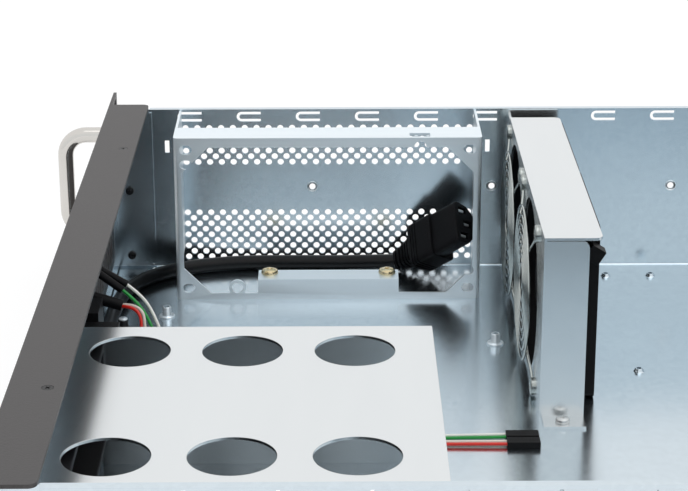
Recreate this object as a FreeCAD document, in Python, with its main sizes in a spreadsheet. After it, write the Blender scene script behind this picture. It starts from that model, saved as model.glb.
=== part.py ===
import FreeCAD, Part
import math
import os
import re
import Sketcher
from FreeCAD import Placement, Rotation, Vector

doc = FreeCAD.newDocument("rack_case")
sizes = doc.addObject("Spreadsheet::Sheet", "Sizes")
known = []


def size(alias, number):
    # One driving size: its name in column A, its number in column B.
    row = len(known) + 1
    sizes.set("A%d" % row, alias)
    sizes.set("B%d" % row, str(number))
    sizes.setAlias("B%d" % row, alias)
    known.append(alias)


# Case as a whole, in millimetres
size("case_width", 430)
size("case_depth", 492)
size("wall_height", 85.3)
size("sheet", 1.2)
size("fold", 0.8)
size("lip_width", 2.4)
size("seat_gap", 0.3)
size("screw_play", 0.4)
size("screw_tip", 2)
size("trim_play", 0.2)
size("trim_rim", 1)

# Painted front panel and the rack it bolts to
size("panel_width", 482.6)
size("panel_sheet", 1.5)
size("flange_depth", 20)
size("flange_overhang", 4.3)
size("flange_round", 3)
size("rack_pitch", 465.1)
size("rack_hole_rise", 76.2)
size("rack_slot_length", 10.5)
size("rack_slot_height", 6.8)
size("vent_first", 24)
size("vent_pitch", 9)
size("vent_count", 14)
size("vent_width", 4)
size("vent_low", 14)
size("vent_high", 70)
size("window_margin", 3)
size("lid_screw_depth", 14)
size("lid_screw_inset", 72)
size("lid_screw_hole", 4.4)

# Zinc frame behind the panel
size("frame_side", 19)
size("frame_low", 1.7)
size("frame_top", 14)
size("frame_screw_depth", 9.3)
size("frame_screw_low", 6.5)
size("frame_screw_rise", 35)
size("frame_screw_head", 5)

# Handles
size("handle_pitch", 448)
size("handle_span", 51.5)
size("handle_reach", 24)
size("handle_bar", 8)
size("handle_bend", 11)
size("handle_screw", 4)
size("handle_thread_depth", 12)

# Side walls
size("hole_pitch", 6)
size("hole_row", 3)
size("hole_diameter", 3.2)
size("field_start", 38.6)
size("field_low", 5.24)
size("field_high", 56.3)
size("field_columns", 13)
size("field_low_rows", 5)
size("field_high_rows", 4)
size("rail_hole", 3.4)
size("rail_start", 102.7)
size("rail_pitch", 91.7)
size("rail_level", 43)
size("rail_count", 5)
size("catch_start", 29)
size("catch_pitch", 162.8)
size("catch_width", 2.3)
size("catch_height", 6.5)
size("catch_low", 61.3)
size("relief_hole", 1.6)
size("relief_depth", 20.3)
size("relief_level", 1.9)
size("hook_start", 34.7)
size("hook_pitch", 29.9)
size("hook_count", 15)
size("hook_length", 12.2)
size("hook_height", 5.1)
size("hook_cut", 1.4)
size("hook_level", 80.25)

# Power supply bracket
size("psu_face", 48.65)
size("psu_start", 35.7)
size("psu_width", 150)
size("psu_height", 83.5)
size("psu_member", 3.8)
size("psu_top_member", 4.8)
size("psu_foot_member", 3.3)
size("psu_gusset", 13)
size("psu_top_depth", 18)
size("psu_hole_inset", 6)
size("psu_hole_span", 138)
size("psu_hole_rise", 64)
size("psu_hole_long", 6)
size("psu_hole_tall", 4.5)
size("psu_odd_hole", 30)
size("psu_odd_size", 5.5)
size("psu_ear", 4.2)
size("ledge_start", 40.2)
size("ledge_width", 69.7)
size("ledge_level", 10.5)
size("ledge_depth", 13.6)
size("ledge_screw_inset", 5.6)
size("ledge_screw_in", 9.4)
size("notch_start", 114.9)
size("notch_width", 10)
size("notch_depth", 8)
size("psu_gate_width", 24)

# Fan wall
size("fan_wall_start", 202)
size("fan_wall_width", 194)
size("fan_wall_top", 82.85)
size("fan_top_depth", 24.8)
size("fan_top_start", 12)
size("fan_end_depth", 19.2)
size("fan_end_round", 3.4)
size("fan_end_drop", 0.3)
size("fan_tab_top", 83.6)
size("fan_foot", 11)
size("fan_first", 51)
size("fan_pitch", 82)
size("fan_count", 2)
size("fan_level", 40.3)
size("fan_size", 80)
size("fan_thick", 25)
size("fan_bore", 76)
size("fan_hole_pitch", 71.5)
size("fan_hole", 4.6)
size("fan_screw_length", 10)
size("fan_opening", 77)
size("fan_corner", 3)
size("rotor_hub", 34)
size("rotor_front", 3)
size("rotor_length", 16)
size("blade_gap", 1.2)
size("blade_count", 7)
size("blade_chord", 15)
size("blade_thick", 1.2)
size("blade_root_pitch", 48)
size("blade_tip_pitch", 30)
size("motor_plate", 4)
size("shaft_diameter", 3)
size("strut_width", 4)
size("guard_wire", 1.6)
size("guard_first_ring", 24)
size("guard_ring_step", 20)
size("guard_eye", 8)
size("guard_sides", 24)
size("guard_weld", 0.16)

# Drive cage
size("cage_start", 236.6)
size("cage_width", 150.4)
size("cage_top", 61.2)
size("cage_end", 153)
size("cage_foot", 11)
size("cage_foot_start", 30)
size("cage_hole", 31.6)
size("cage_hole_inset", 27.1)
size("cage_hole_start", 33.6)
size("cage_hole_pitch", 44)
size("cord_gate_depth", 18)
size("cord_gate_height", 11)
size("bay_width", 148)
size("bay_height", 42.4)
size("bay_low", 12)
size("bay_thick", 3)

# Small screws
size("screw_shank", 3)
size("screw_head", 6.2)
size("screw_head_height", 2)
size("yellow_head", 8.5)

# Buttons, lamps and sockets behind the panel
size("power_across", 194)
size("power_level", 44)
size("power_cap", 13)
size("button_proud", 1.2)
size("power_housing", 19)
size("power_depth", 13)
size("button_travel", 1.5)
size("reset_across", 208)
size("reset_level", 46)
size("reset_cap", 5)
size("reset_housing", 8)
size("reset_depth", 22)
size("stem_diameter", 2.6)
size("led_across", 172.5)
size("led_level", 64.5)
size("disk_led_across", 179)
size("disk_led_level", 52.5)
size("led_diameter", 5)
size("led_length", 7)
size("usb_across", 171)
size("usb_level", 20)
size("usb_width", 14)
size("usb_height", 16)
size("usb_depth", 14)
size("usb_wall", 1.25)
size("usb_back", 2)
size("usb_divider", 3)
size("sleeve_diameter", 3.4)
size("pair_sleeve", 5)
size("wire_diameter", 1.4)
size("header_length", 14)
size("header_width", 6)
size("header_height", 2.8)
size("fan_plug", 7)
size("fan_plug_back", 2.7)
size("fan_plug_rise", 29.6)

# Floor
size("stud_diameter", 4.3)
size("stud_height", 5)
size("stud_collar", 8.6)
size("near_stud_across", 71.5)
size("near_stud_depth", 32.2)
size("far_stud_across", 107.9)
size("far_stud_depth", 189.4)
size("board_first", 17.4)
size("board_front_row", 252.4)
size("board_near_gap", 124.46)
size("board_far_gap", 157.48)
size("board_mid_row", 72.39)
size("board_rear_row", 227.33)
size("board_extra_row", 22.86)
size("board_hole", 3.6)

# Rear wall
size("rear_side", 12)
size("rear_vent_count", 5)
size("slot_count", 7)
size("slot_pitch", 20.32)
size("slot_last", 132.8)
size("slot_width", 14.4)
size("slot_low", 9)
size("slot_high", 70)
size("cover_width", 18.4)
size("cover_thick", 0.9)
size("cover_low", 5)
size("cover_high", 79)
size("cover_screw_level", 74.6)
size("shield_start", 146.5)
size("shield_width", 158.75)
size("shield_low", 4.2)
size("shield_height", 44.45)
size("inlet_across", 396)
size("inlet_level", 24)
size("inlet_width", 27.4)
size("inlet_height", 20)
size("inlet_depth", 22)
size("inlet_flange_width", 50)
size("inlet_flange_thick", 2.5)
size("inlet_screw_pitch", 40)
size("inlet_well", 15)
size("inlet_wall", 2)
size("pin_width", 4)
size("pin_thick", 2)
size("pin_pitch", 14)

# Mains cord and its plug
size("cord_diameter", 7)
size("plug_width", 25)
size("plug_height", 19)
size("plug_length", 14.3)
size("plug_chamfer", 6)
size("plug_taper", 0.86)
size("plug_slot_depth", 12)
size("boot_length", 28)
size("boot_front", 16)
size("boot_middle", 13)
size("boot_rear", 10)
size("boot_drop", 11.6)
size("boot_swing", 7.3)
size("plug_x", 26)
size("plug_y", 179.2)
size("plug_z", 30.6)
size("plug_yaw", 68)
size("plug_pitch", -16)
size("plug_roll", -110)

doc.recompute()


def rule(text):
    # Writes a rule of bare size names as an expression on the sheet.
    return re.sub(r"[a-z_]+", lambda m: "Sizes." + m.group(0) if m.group(0) in known else m.group(0), text)


def number(text):
    result = sizes.evalExpression(rule(text))
    return float(getattr(result, "Value", result))


inner_width = "(case_width - 2 * sheet)"
wall_top = "(wall_height - sheet)"
panel_top = "(wall_height - sheet + panel_sheet)"
panel_middle = "((wall_height - 2 * sheet + panel_sheet) / 2)"
frame_front = "panel_sheet"
rear_inside = "(case_depth - sheet)"
slot_first = "(slot_last - (slot_count - 1) * slot_pitch)"
directions = {
    "+x": Rotation(Vector(0, 1, 0), 90),
    "-x": Rotation(Vector(0, 1, 0), -90),
    "+y": Rotation(Vector(1, 0, 0), -90),
    "-y": Rotation(Vector(1, 0, 0), 90),
    "+z": Rotation(),
    "-z": Rotation(Vector(1, 0, 0), 180),
}
nodes = []


def put(piece, x, y, z):
    for axis, text in zip("xyz", (x, y, z)):
        piece.setExpression("Placement.Base." + axis, rule(text))


def node(piece, label, x="0", y="0", z="0"):
    # Places a finished piece. Its own zero lies at x to the right of the left
    # wall's inner face, y behind the panel's face and z above the floor.
    piece.Label = label
    put(piece, "-case_width / 2 + sheet + " + x, "-case_depth / 2 + " + y, "sheet + " + z)
    nodes.append(piece)
    return piece


def new_body(name):
    return doc.addObject("PartDesign::Body", name)


def sketch_on(body, plane, offset="0"):
    # XY looks down on x and y; XZ faces the front with x and z; YZ faces the
    # right with y and z. The offset runs along +Z, +Y or +X.
    sketch = body.newObject("Sketcher::SketchObject", body.Name + "_sketch")
    support = [item for item in body.Origin.OriginFeatures if item.Role == plane + "_Plane"][0]
    sketch.AttachmentSupport = [(support, "")]
    sketch.MapMode = "FlatFace"
    side = "-" if plane == "XZ" else ""
    sketch.setExpression("AttachmentOffset.Base.z", rule(side + "(" + offset + ")"))
    return sketch


def pin(sketch, item, point, x, y):
    for way, text in (("DistanceX", x), ("DistanceY", y)):
        index = sketch.addConstraint(Sketcher.Constraint(way, -1, 1, item, point, number(text)))
        sketch.setExpression("Constraints[%d]" % index, rule(text))


def outline(sketch, corners, arcs=(), bulge=None):
    # A closed outline. The stretch after a corner named in arcs is a half
    # circle that bulges to the right of the way round, or left where bulge
    # holds -1 for it.
    bulge = bulge or {}
    first = sketch.GeometryCount
    count = len(corners)
    spots = [Vector(number(x), number(y), 0) for x, y in corners]
    for step in range(count):
        here = spots[step]
        there = spots[(step + 1) % count]
        if step in arcs:
            half = (there - here) * 0.5
            begin = -half if bulge.get(step, 1) > 0 else half
            angle = math.atan2(begin.y, begin.x)
            ring = Part.Circle(here + half, Vector(0, 0, 1), half.Length)
            sketch.addGeometry(Part.ArcOfCircle(ring, angle, angle + math.pi))
        else:
            sketch.addGeometry(Part.LineSegment(here, there))
    for step in range(count):
        after = (step + 1) % count
        ends = []
        for index in (step, after):
            geometry = sketch.Geometry[first + index]
            begin = geometry.value(geometry.FirstParameter) if index in arcs else geometry.StartPoint
            meets = (begin - spots[after]).Length < 1e-6
            ends.append(1 if meets else 2)
        joint = Sketcher.Constraint("Coincident", first + step, ends[0], first + after, ends[1])
        sketch.addConstraint(joint)
        pin(sketch, first + after, ends[1], *corners[after])
        if step in arcs:
            level = abs(spots[after].y - spots[step].y) > abs(spots[after].x - spots[step].x)
            way = "DistanceX" if level else "DistanceY"
            text = corners[step][0] if level else corners[step][1]
            index = sketch.addConstraint(Sketcher.Constraint(way, -1, 1, first + step, 3, number(text)))
            sketch.setExpression("Constraints[%d]" % index, rule(text))


def box_outline(sketch, x0, y0, x1, y1):
    outline(sketch, [(x0, y0), (x1, y0), (x1, y1), (x0, y1)])


def long_hole(sketch, x, y, length, height):
    # A hole with round ends, lying along the sketch's first axis.
    reach = "(%s - %s) / 2" % (length, height)
    left = "%s - %s" % (x, reach)
    right = "%s + %s" % (x, reach)
    low = "%s - %s / 2" % (y, height)
    high = "%s + %s / 2" % (y, height)
    outline(sketch, [(left, low), (right, low), (right, high), (left, high)], arcs=(1, 3))


def circle(sketch, x, y, diameter):
    centre = Vector(number(x), number(y), 0)
    index = sketch.addGeometry(Part.Circle(centre, Vector(0, 0, 1), number(diameter) / 2))
    pin(sketch, index, 3, x, y)
    last = sketch.addConstraint(Sketcher.Constraint("Diameter", index, number(diameter)))
    sketch.setExpression("Constraints[%d]" % last, rule(diameter))


def pad(sketch, length, turned=False):
    body = sketch.getParentGeoFeatureGroup()
    feature = body.newObject("PartDesign::Pad", sketch.Name + "_pad")
    feature.Profile = sketch
    feature.setExpression("Length", rule(length))
    feature.Reversed = turned
    return feature


def cut(sketch, length):
    # Cuts the outline to both sides of its plane, over the length in all.
    body = sketch.getParentGeoFeatureGroup()
    feature = body.newObject("PartDesign::Pocket", sketch.Name + "_cut")
    feature.Profile = sketch
    feature.SideType = "Symmetric"
    feature.setExpression("Length", rule(length))
    return feature


def row_of(feature, axis, pitch, count):
    body = feature.getParentGeoFeatureGroup()
    pattern = body.newObject("PartDesign::LinearPattern", feature.Name + "_row")
    pattern.Originals = [feature]
    pattern.Direction = (feature.Profile[0], [axis])
    pattern.Mode = "Spacing"
    pattern.setExpression("Offset", rule(pitch))
    pattern.setExpression("Occurrences", rule(count))
    body.Tip = pattern
    return pattern


def round_folds(body, folds, inner, outer):
    # Rounds the sheet's folds. Each fold is the way its edge runs, the two
    # other coordinates of the edge, and whether it is the inside of the bend.
    doc.recompute()
    base = body.Tip
    for radius, inside in ((inner, True), (outer, False)):
        names = []
        for run, first, second, is_inside in folds:
            if is_inside != inside:
                continue
            others = [way for way in (0, 1, 2) if way != "xyz".index(run)]
            wanted = (number(first), number(second))
            for index, edge in enumerate(base.Shape.Edges, start=1):
                ends = [vertex.Point for vertex in edge.Vertexes]
                if len(ends) != 2:
                    continue
                if all(abs(end[way] - spot) < 1e-4 for end in ends for way, spot in zip(others, wanted)):
                    names.append("Edge%d" % index)
        if names:
            fillet = body.newObject("PartDesign::Fillet", body.Name + "_fold")
            fillet.Base = (base, names)
            fillet.setExpression("Radius", rule(radius))
            body.Tip = fillet
            doc.recompute()
            base = fillet


def clear_folds(body, middle, length, right=False):
    # Takes away the corners that would stand in the tray's rounded folds.
    sketch = sketch_on(body, "XZ", middle)
    box_outline(sketch, "-sheet", "-sheet", "fold", "fold")
    if right:
        box_outline(sketch, inner_width + " - fold", "-sheet", inner_width + " + sheet", "fold")
    cut(sketch, length)


def block(name, length, width, height, x="0", y="0", z="0"):
    piece = doc.addObject("Part::Box", name)
    for way, text in (("Length", length), ("Width", width), ("Height", height)):
        piece.setExpression(way, rule(text))
    put(piece, x, y, z)
    return piece


def rod(name, diameter, length, x="0", y="0", z="0", along="+z"):
    piece = doc.addObject("Part::Cylinder", name)
    piece.setExpression("Radius", rule("(%s) / 2" % diameter))
    piece.setExpression("Height", rule(length))
    piece.Placement = Placement(Vector(), directions[along])
    put(piece, x, y, z)
    return piece


def fuse(name, pieces):
    result = doc.addObject("Part::MultiFuse", name)
    result.Shapes = pieces
    return result


def less(name, base, tools):
    # Takes the tools out of the base.
    result = doc.addObject("Part::Cut", name)
    result.Base = base
    result.Tool = tools[0] if len(tools) == 1 else fuse(name + "_tools", tools)
    return result


def group(name, pieces):
    result = doc.addObject("Part::Compound", name)
    result.Links = pieces
    return result


def screw(name, x, y, z, along, shank, length, head="screw_head", height="screw_head_height"):
    # The head seats at the given place; the shank runs on along the way given.
    signed = {"+": "-", "-": "+"}[along[0]]
    spot = {"x": x, "y": y, "z": z}
    spot[along[1]] = "%s %s %s" % (spot[along[1]], signed, height)
    top = rod(name + "_head", head, height, spot["x"], spot["y"], spot["z"], along)
    stem = rod(name + "_shank", shank, "%s + %s" % (height, length), spot["x"], spot["y"], spot["z"], along)
    return fuse(name, [top, stem])


def chassis_tray():
    # Floor and both side walls, folded from one sheet.
    body = new_body("chassis_tray")
    section = sketch_on(body, "XZ", frame_front)
    outline(section, [
        ("-sheet", "-sheet"),
        (inner_width + " + sheet", "-sheet"),
        (inner_width + " + sheet", wall_top),
        (inner_width, wall_top),
        (inner_width, "0"),
        ("0", "0"),
        ("0", wall_top),
        ("-sheet", wall_top),
    ])
    pad(section, "case_depth - " + frame_front, turned=True)

    # A lip turned out along the top of both walls, behind the front panel
    lip_start = "flange_depth + 2 * seat_gap"
    lips = sketch_on(body, "XZ", lip_start)
    box_outline(lips, "-sheet - lip_width", wall_top + " - sheet", "0", wall_top)
    box_outline(lips, inner_width, wall_top + " - sheet", inner_width + " + sheet + lip_width", wall_top)
    pad(lips, "case_depth - (%s)" % lip_start, turned=True)

    # Vent field beside the power supply. Every second hole of every second
    # row is cut here; the holes between belong to the finish.
    for low in ("field_low", "field_high"):
        for parity in (0, 1):
            field = sketch_on(body, "YZ", "-sheet / 2")
            start = "field_start + %d * hole_pitch" % parity
            for level in range(parity, int(number(low + "_rows")), 2):
                circle(field, start, "%s + %d * 2 * hole_row" % (low, level), "hole_diameter")
            row_of(cut(field, "3 * sheet"), "H_Axis", "2 * hole_pitch", "field_columns - %d" % parity)

    # Hooks for the lid along the top of both walls: a U-shaped cut round a tongue.
    hooks = sketch_on(body, "YZ", inner_width + " / 2")
    outer_low = "hook_level - hook_height / 2"
    outer_high = "hook_level + hook_height / 2"
    bend = "hook_start + hook_height / 2"
    tip = "hook_start + hook_length"
    outline(hooks, [
        (tip, outer_low),
        (tip, outer_low + " + hook_cut"),
        (bend, outer_low + " + hook_cut"),
        (bend, outer_high + " - hook_cut"),
        (tip, outer_high + " - hook_cut"),
        (tip, outer_high),
        (bend, outer_high),
        (bend, outer_low),
    ], arcs=(2, 6), bulge={2: -1})
    row_of(cut(hooks, "case_width + 2 * sheet"), "H_Axis", "hook_pitch", "hook_count")

    # Holes for the slide rails, through both walls
    rails = sketch_on(body, "YZ", inner_width + " / 2")
    circle(rails, "rail_start", "rail_level", "rail_hole")
    row_of(cut(rails, "case_width + 2 * sheet"), "H_Axis", "rail_pitch", "rail_count")

    # Two catch slots in the left wall
    catches = sketch_on(body, "YZ", "-sheet / 2")
    box_outline(catches, "catch_start - catch_width / 2", "catch_low",
                "catch_start + catch_width / 2", "catch_low + catch_height")
    row_of(cut(catches, "3 * sheet"), "H_Axis", "catch_pitch", "2")

    # Holes for the front frame's screws, through both walls
    front_holes = sketch_on(body, "YZ", inner_width + " / 2")
    for step in range(3):
        circle(front_holes, "frame_screw_depth", "frame_screw_low + %d * frame_screw_rise" % step,
               "screw_shank + screw_play")
    cut(front_holes, "case_width + 2 * sheet")

    # Relief holes where the walls' folds end behind the front frame
    reliefs = sketch_on(body, "YZ", inner_width + " / 2")
    circle(reliefs, "relief_depth", "relief_level", "relief_hole")
    cut(reliefs, "case_width + 2 * sheet")

    # Board holes in the floor
    board = sketch_on(body, "XY", "-sheet / 2")
    for column in ("board_first", "board_first + board_near_gap",
                   "board_first + board_near_gap + board_far_gap"):
        for row in ("0", "board_mid_row", "board_rear_row"):
            circle(board, column, "board_front_row + " + row, "board_hole")
    circle(board, "board_first", "board_front_row + board_extra_row", "board_hole")
    cut(board, "3 * sheet")

    round_folds(body, [
        ("y", "0", "0", True),
        ("y", inner_width, "0", True),
        ("y", "-sheet", "-sheet", False),
        ("y", inner_width + " + sheet", "-sheet", False),
    ], "fold", "fold + sheet")
    return node(body, "chassis_tray")


def front_frame():
    # Zinc frame behind the painted panel, with folded sides and top.
    body = new_body("front_frame")
    plan = sketch_on(body, "XY", "frame_low")
    back = frame_front + " + sheet + frame_side"
    outline(plan, [
        ("0", frame_front),
        (inner_width, frame_front),
        (inner_width, back),
        (inner_width + " - sheet", back),
        (inner_width + " - sheet", frame_front + " + sheet"),
        ("sheet", frame_front + " + sheet"),
        ("sheet", back),
        ("0", back),
    ])
    pad(plan, wall_top + " - sheet - seat_gap - frame_low")
    top = sketch_on(body, "XY", wall_top)
    box_outline(top, "0", frame_front, inner_width, frame_front + " + frame_top")
    pad(top, "sheet", turned=True)
    link = sketch_on(body, "XY", wall_top)
    box_outline(link, "0", frame_front, inner_width, frame_front + " + sheet")
    pad(link, "2 * sheet", turned=True)

    windows = sketch_on(body, "XZ", frame_front + " + sheet / 2")
    vent_end = "vent_first + (vent_count - 1) * vent_pitch + vent_width"
    box_outline(windows, "vent_first - window_margin", "vent_low - window_margin",
                vent_end + " + window_margin", "vent_high + window_margin")
    box_outline(windows, "usb_across - usb_width / 2 - window_margin",
                "usb_level - usb_height / 2 - window_margin",
                "reset_across + reset_housing / 2 + window_margin",
                "led_level + window_margin + led_diameter")
    bay_left = "cage_start + (cage_width - bay_width) / 2"
    box_outline(windows, bay_left, "bay_low", bay_left + " + bay_width", "bay_low + bay_height")
    cut(windows, "3 * sheet")

    holes = sketch_on(body, "YZ", inner_width + " / 2")
    for step in range(3):
        level = "frame_screw_low + %d * frame_screw_rise" % step
        circle(holes, "frame_screw_depth", level, "screw_shank + screw_play")
    cut(holes, "case_width")
    lid_holes = sketch_on(body, "XY", wall_top + " - sheet / 2")
    for x in ("lid_screw_inset", inner_width + " - lid_screw_inset"):
        circle(lid_holes, x, "lid_screw_depth", "screw_shank + screw_play")
    cut(lid_holes, "3 * sheet")
    return node(body, "front_frame")


def front_panel():
    # Painted panel with rack ears and a top flange over the case's edge.
    body = new_body("front_panel")
    face = sketch_on(body, "XZ")
    ear = "(panel_width - case_width) / 2 + sheet"
    box_outline(face, "-(%s)" % ear, "-sheet", inner_width + " + " + ear, panel_top)
    pad(face, "panel_sheet", turned=True)
    flange = sketch_on(body, "XY", panel_top)
    left = "-flange_overhang"
    right = inner_width + " + flange_overhang"
    box_outline(flange, left, "0", right, "flange_depth")
    pad(flange, "panel_sheet", turned=True)
    round_folds(body, [
        ("z", left, "flange_depth", False),
        ("z", right, "flange_depth", False),
    ], "flange_round", "flange_round")

    vent = sketch_on(body, "XZ", "panel_sheet / 2")
    box_outline(vent, "vent_first", "vent_low", "vent_first + vent_width", "vent_high")
    row_of(cut(vent, "3 * panel_sheet"), "H_Axis", "vent_pitch", "vent_count")

    holes = sketch_on(body, "XZ", "panel_sheet / 2")
    for side in ("-", "+"):
        across = inner_width + " / 2 " + side
        for end in ("-", "+"):
            long_hole(holes, across + " rack_pitch / 2", panel_middle + end + "rack_hole_rise / 2",
                      "rack_slot_length", "rack_slot_height")
            circle(holes, across + " handle_pitch / 2", panel_middle + end + "handle_span / 2",
                   "handle_screw + screw_play")
    bay_left = "cage_start + (cage_width - bay_width) / 2"
    box_outline(holes, bay_left, "bay_low", bay_left + " + bay_width", "bay_low + bay_height")
    circle(holes, "power_across", "power_level", "power_cap + 2 * seat_gap")
    circle(holes, "reset_across", "reset_level", "reset_cap + 2 * seat_gap")
    circle(holes, "led_across", "led_level", "led_diameter + trim_play")
    circle(holes, "disk_led_across", "disk_led_level", "led_diameter + trim_play")
    box_outline(holes, "usb_across - usb_width / 2", "usb_level - usb_height / 2",
                "usb_across + usb_width / 2", "usb_level + usb_height / 2")
    cut(holes, "3 * panel_sheet")

    lid_holes = sketch_on(body, "XY", panel_top + " - panel_sheet / 2")
    for x in ("lid_screw_inset", inner_width + " - lid_screw_inset"):
        circle(lid_holes, x, "lid_screw_depth", "lid_screw_hole")
    cut(lid_holes, "2 * panel_sheet")
    return node(body, "front_panel")


def handle(side, sign):
    # Bent round bar whose two legs stand on the ear. Its zero is midway
    # between the legs, on the panel's face.
    body = new_body("handle_" + side)
    path = sketch_on(body, "YZ")
    half = number("handle_span / 2")
    reach = number("handle_reach")
    bend = number("handle_bend")
    spots = [(0, -half), (bend - reach, -half), (-reach, bend - half),
             (-reach, half - bend), (bend - reach, half), (0, half)]
    spots = [Vector(y, z, 0) for y, z in spots]
    low_ring = Part.Circle(Vector(bend - reach, bend - half, 0), Vector(0, 0, 1), bend)
    high_ring = Part.Circle(Vector(bend - reach, half - bend, 0), Vector(0, 0, 1), bend)
    path.addGeometry(Part.LineSegment(spots[0], spots[1]))
    path.addGeometry(Part.ArcOfCircle(low_ring, math.pi, 1.5 * math.pi))
    path.addGeometry(Part.LineSegment(spots[2], spots[3]))
    path.addGeometry(Part.ArcOfCircle(high_ring, 0.5 * math.pi, math.pi))
    path.addGeometry(Part.LineSegment(spots[4], spots[5]))
    for step in range(4):
        ends = []
        for index in (step, step + 1):
            geometry = path.Geometry[index]
            begin = geometry.value(geometry.FirstParameter)
            ends.append(1 if (begin - spots[step + 1]).Length < 1e-6 else 2)
        path.addConstraint(Sketcher.Constraint("Tangent", step, ends[0], step + 1, ends[1]))
    pin(path, 0, 1, "0", "-handle_span / 2")
    pin(path, 4, 2, "0", "handle_span / 2")
    path.addConstraint(Sketcher.Constraint("Horizontal", 0))
    path.addConstraint(Sketcher.Constraint("Horizontal", 4))
    path.addConstraint(Sketcher.Constraint("Vertical", 2))
    path.addConstraint(Sketcher.Constraint("Equal", 1, 3))
    for kind, data, text in (("Radius", (1,), "handle_bend"), ("DistanceX", (-1, 1, 2, 1), "-handle_reach")):
        index = path.addConstraint(Sketcher.Constraint(kind, *data, number(text)))
        path.setExpression("Constraints[%d]" % index, rule(text))
    section = sketch_on(body, "XZ")
    circle(section, "0", "-handle_span / 2", "handle_bar")
    pipe = body.newObject("PartDesign::AdditivePipe", body.Name + "_bar")
    pipe.Profile = section
    pipe.Spine = (path, ["Edge%d" % index for index in range(1, 6)])
    threads = sketch_on(body, "XZ")
    for end in ("-", "+"):
        circle(threads, "0", end + "handle_span / 2", "handle_screw + screw_play")
    cut(threads, "2 * handle_thread_depth")
    return node(body, "handle_" + side, inner_width + " / 2 " + sign + " handle_pitch / 2", "0",
                panel_middle)


def handle_screws():
    pieces = []
    for index, (side, end) in enumerate((a, b) for a in "-+" for b in "-+"):
        across = inner_width + " / 2 " + side + " handle_pitch / 2"
        pieces.append(screw("handle_screw_%d" % index, across, "panel_sheet",
                            panel_middle + end + "handle_span / 2",
                            "-y", "handle_screw", "panel_sheet + handle_thread_depth - screw_tip"))
    return node(group("handle_screws", pieces), "handle_screws")


def panel_screws():
    # Flat countersunk heads flush in the painted flange.
    pieces = []
    for index, x in enumerate(("lid_screw_inset", inner_width + " - lid_screw_inset")):
        pieces.append(screw("panel_screw_%d" % index, x, "lid_screw_depth", panel_top + " - panel_sheet",
                            "-z", "screw_shank", "sheet + screw_tip", "lid_screw_hole - trim_play",
                            "panel_sheet"))
    return node(group("panel_screws", pieces), "panel_screws")


def frame_screws():
    # Black screws that hold the frame's sides to the case's side walls.
    pieces = []
    for side in (0, 1):
        for step in range(3):
            face = "sheet" if side == 0 else inner_width + " - sheet"
            pieces.append(screw("frame_screw_%d%d" % (side, step), face, "frame_screw_depth",
                                "frame_screw_low + %d * frame_screw_rise" % step, "+x" if side else "-x",
                                "screw_shank", "2 * sheet", "frame_screw_head", "screw_head_height"))
    return node(group("frame_screws", pieces), "frame_screws")


def drive_cage():
    # Folded cage: a top plate on two sides with feet turned out on the floor.
    body = new_body("drive_cage")
    front = frame_front + " + sheet"
    section = sketch_on(body, "XZ", front)
    left = "cage_start"
    right = "cage_start + cage_width"
    outline(section, [
        (left, "0"),
        (left + " + sheet", "0"),
        (left + " + sheet", "cage_top - sheet"),
        (right + " - sheet", "cage_top - sheet"),
        (right + " - sheet", "0"),
        (right, "0"),
        (right, "cage_top"),
        (left, "cage_top"),
    ])
    pad(section, "cage_end - (%s)" % front, turned=True)
    feet = sketch_on(body, "XY")
    box_outline(feet, left + " - cage_foot", "cage_foot_start", left + " + sheet", "cage_end")
    box_outline(feet, right + " - sheet", "cage_foot_start", right + " + cage_foot", "cage_end")
    pad(feet, "sheet")
    round_folds(body, [
        ("y", left, "cage_top", False),
        ("y", right, "cage_top", False),
        ("y", left + " + sheet", "cage_top - sheet", True),
        ("y", right + " - sheet", "cage_top - sheet", True),
    ], "fold", "fold + sheet")

    holes = sketch_on(body, "XY", "cage_top - sheet / 2")
    for x in (left + " + cage_hole_inset", right + " - cage_hole_inset"):
        circle(holes, x, "cage_hole_start", "cage_hole")
    row_of(cut(holes, "3 * sheet"), "V_Axis", "cage_hole_pitch", "3")

    # The mains cord passes under both sides at the front.
    gate = sketch_on(body, "YZ", "cage_start + cage_width / 2")
    box_outline(gate, "0", "-sheet", "cord_gate_depth", "cord_gate_height")
    cut(gate, "cage_width + 2 * sheet")

    foot_holes = sketch_on(body, "XY", "sheet / 2")
    for x in (left + " - cage_foot / 2", right + " + cage_foot / 2"):
        for y in ("cage_foot_start + cage_foot", "cage_end - cage_foot"):
            circle(foot_holes, x, y, "screw_shank + screw_play")
    cut(foot_holes, "2 * sheet")
    return node(body, "drive_cage")


def cage_screws():
    pieces = []
    left = "cage_start - cage_foot / 2"
    right = "cage_start + cage_width + cage_foot / 2"
    for index, (x, y) in enumerate((a, b) for a in (left, right)
                                   for b in ("cage_foot_start + cage_foot", "cage_end - cage_foot")):
        pieces.append(screw("cage_screw_%d" % index, x, y, "sheet", "-z", "screw_shank", "sheet"))
    return node(group("cage_screws", pieces), "cage_screws")


def bay_cover():
    # Plastic blank in the drive opening: a face, and a rim that reaches back.
    wide = "(bay_width - 2 * seat_gap)"
    high = "(bay_height - 2 * seat_gap)"
    deep = "(bay_thick + cord_gate_depth)"
    shell = less("bay_cover", block("bay_shell", wide, deep, high),
                 [block("bay_hollow", wide + " - 2 * bay_thick", deep, high + " - 2 * bay_thick",
                        "bay_thick", "bay_thick", "bay_thick")])
    return node(shell, "bay_cover", "cage_start + (cage_width - bay_width) / 2 + seat_gap", "-sheet / 2",
                "bay_low + seat_gap")


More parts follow.
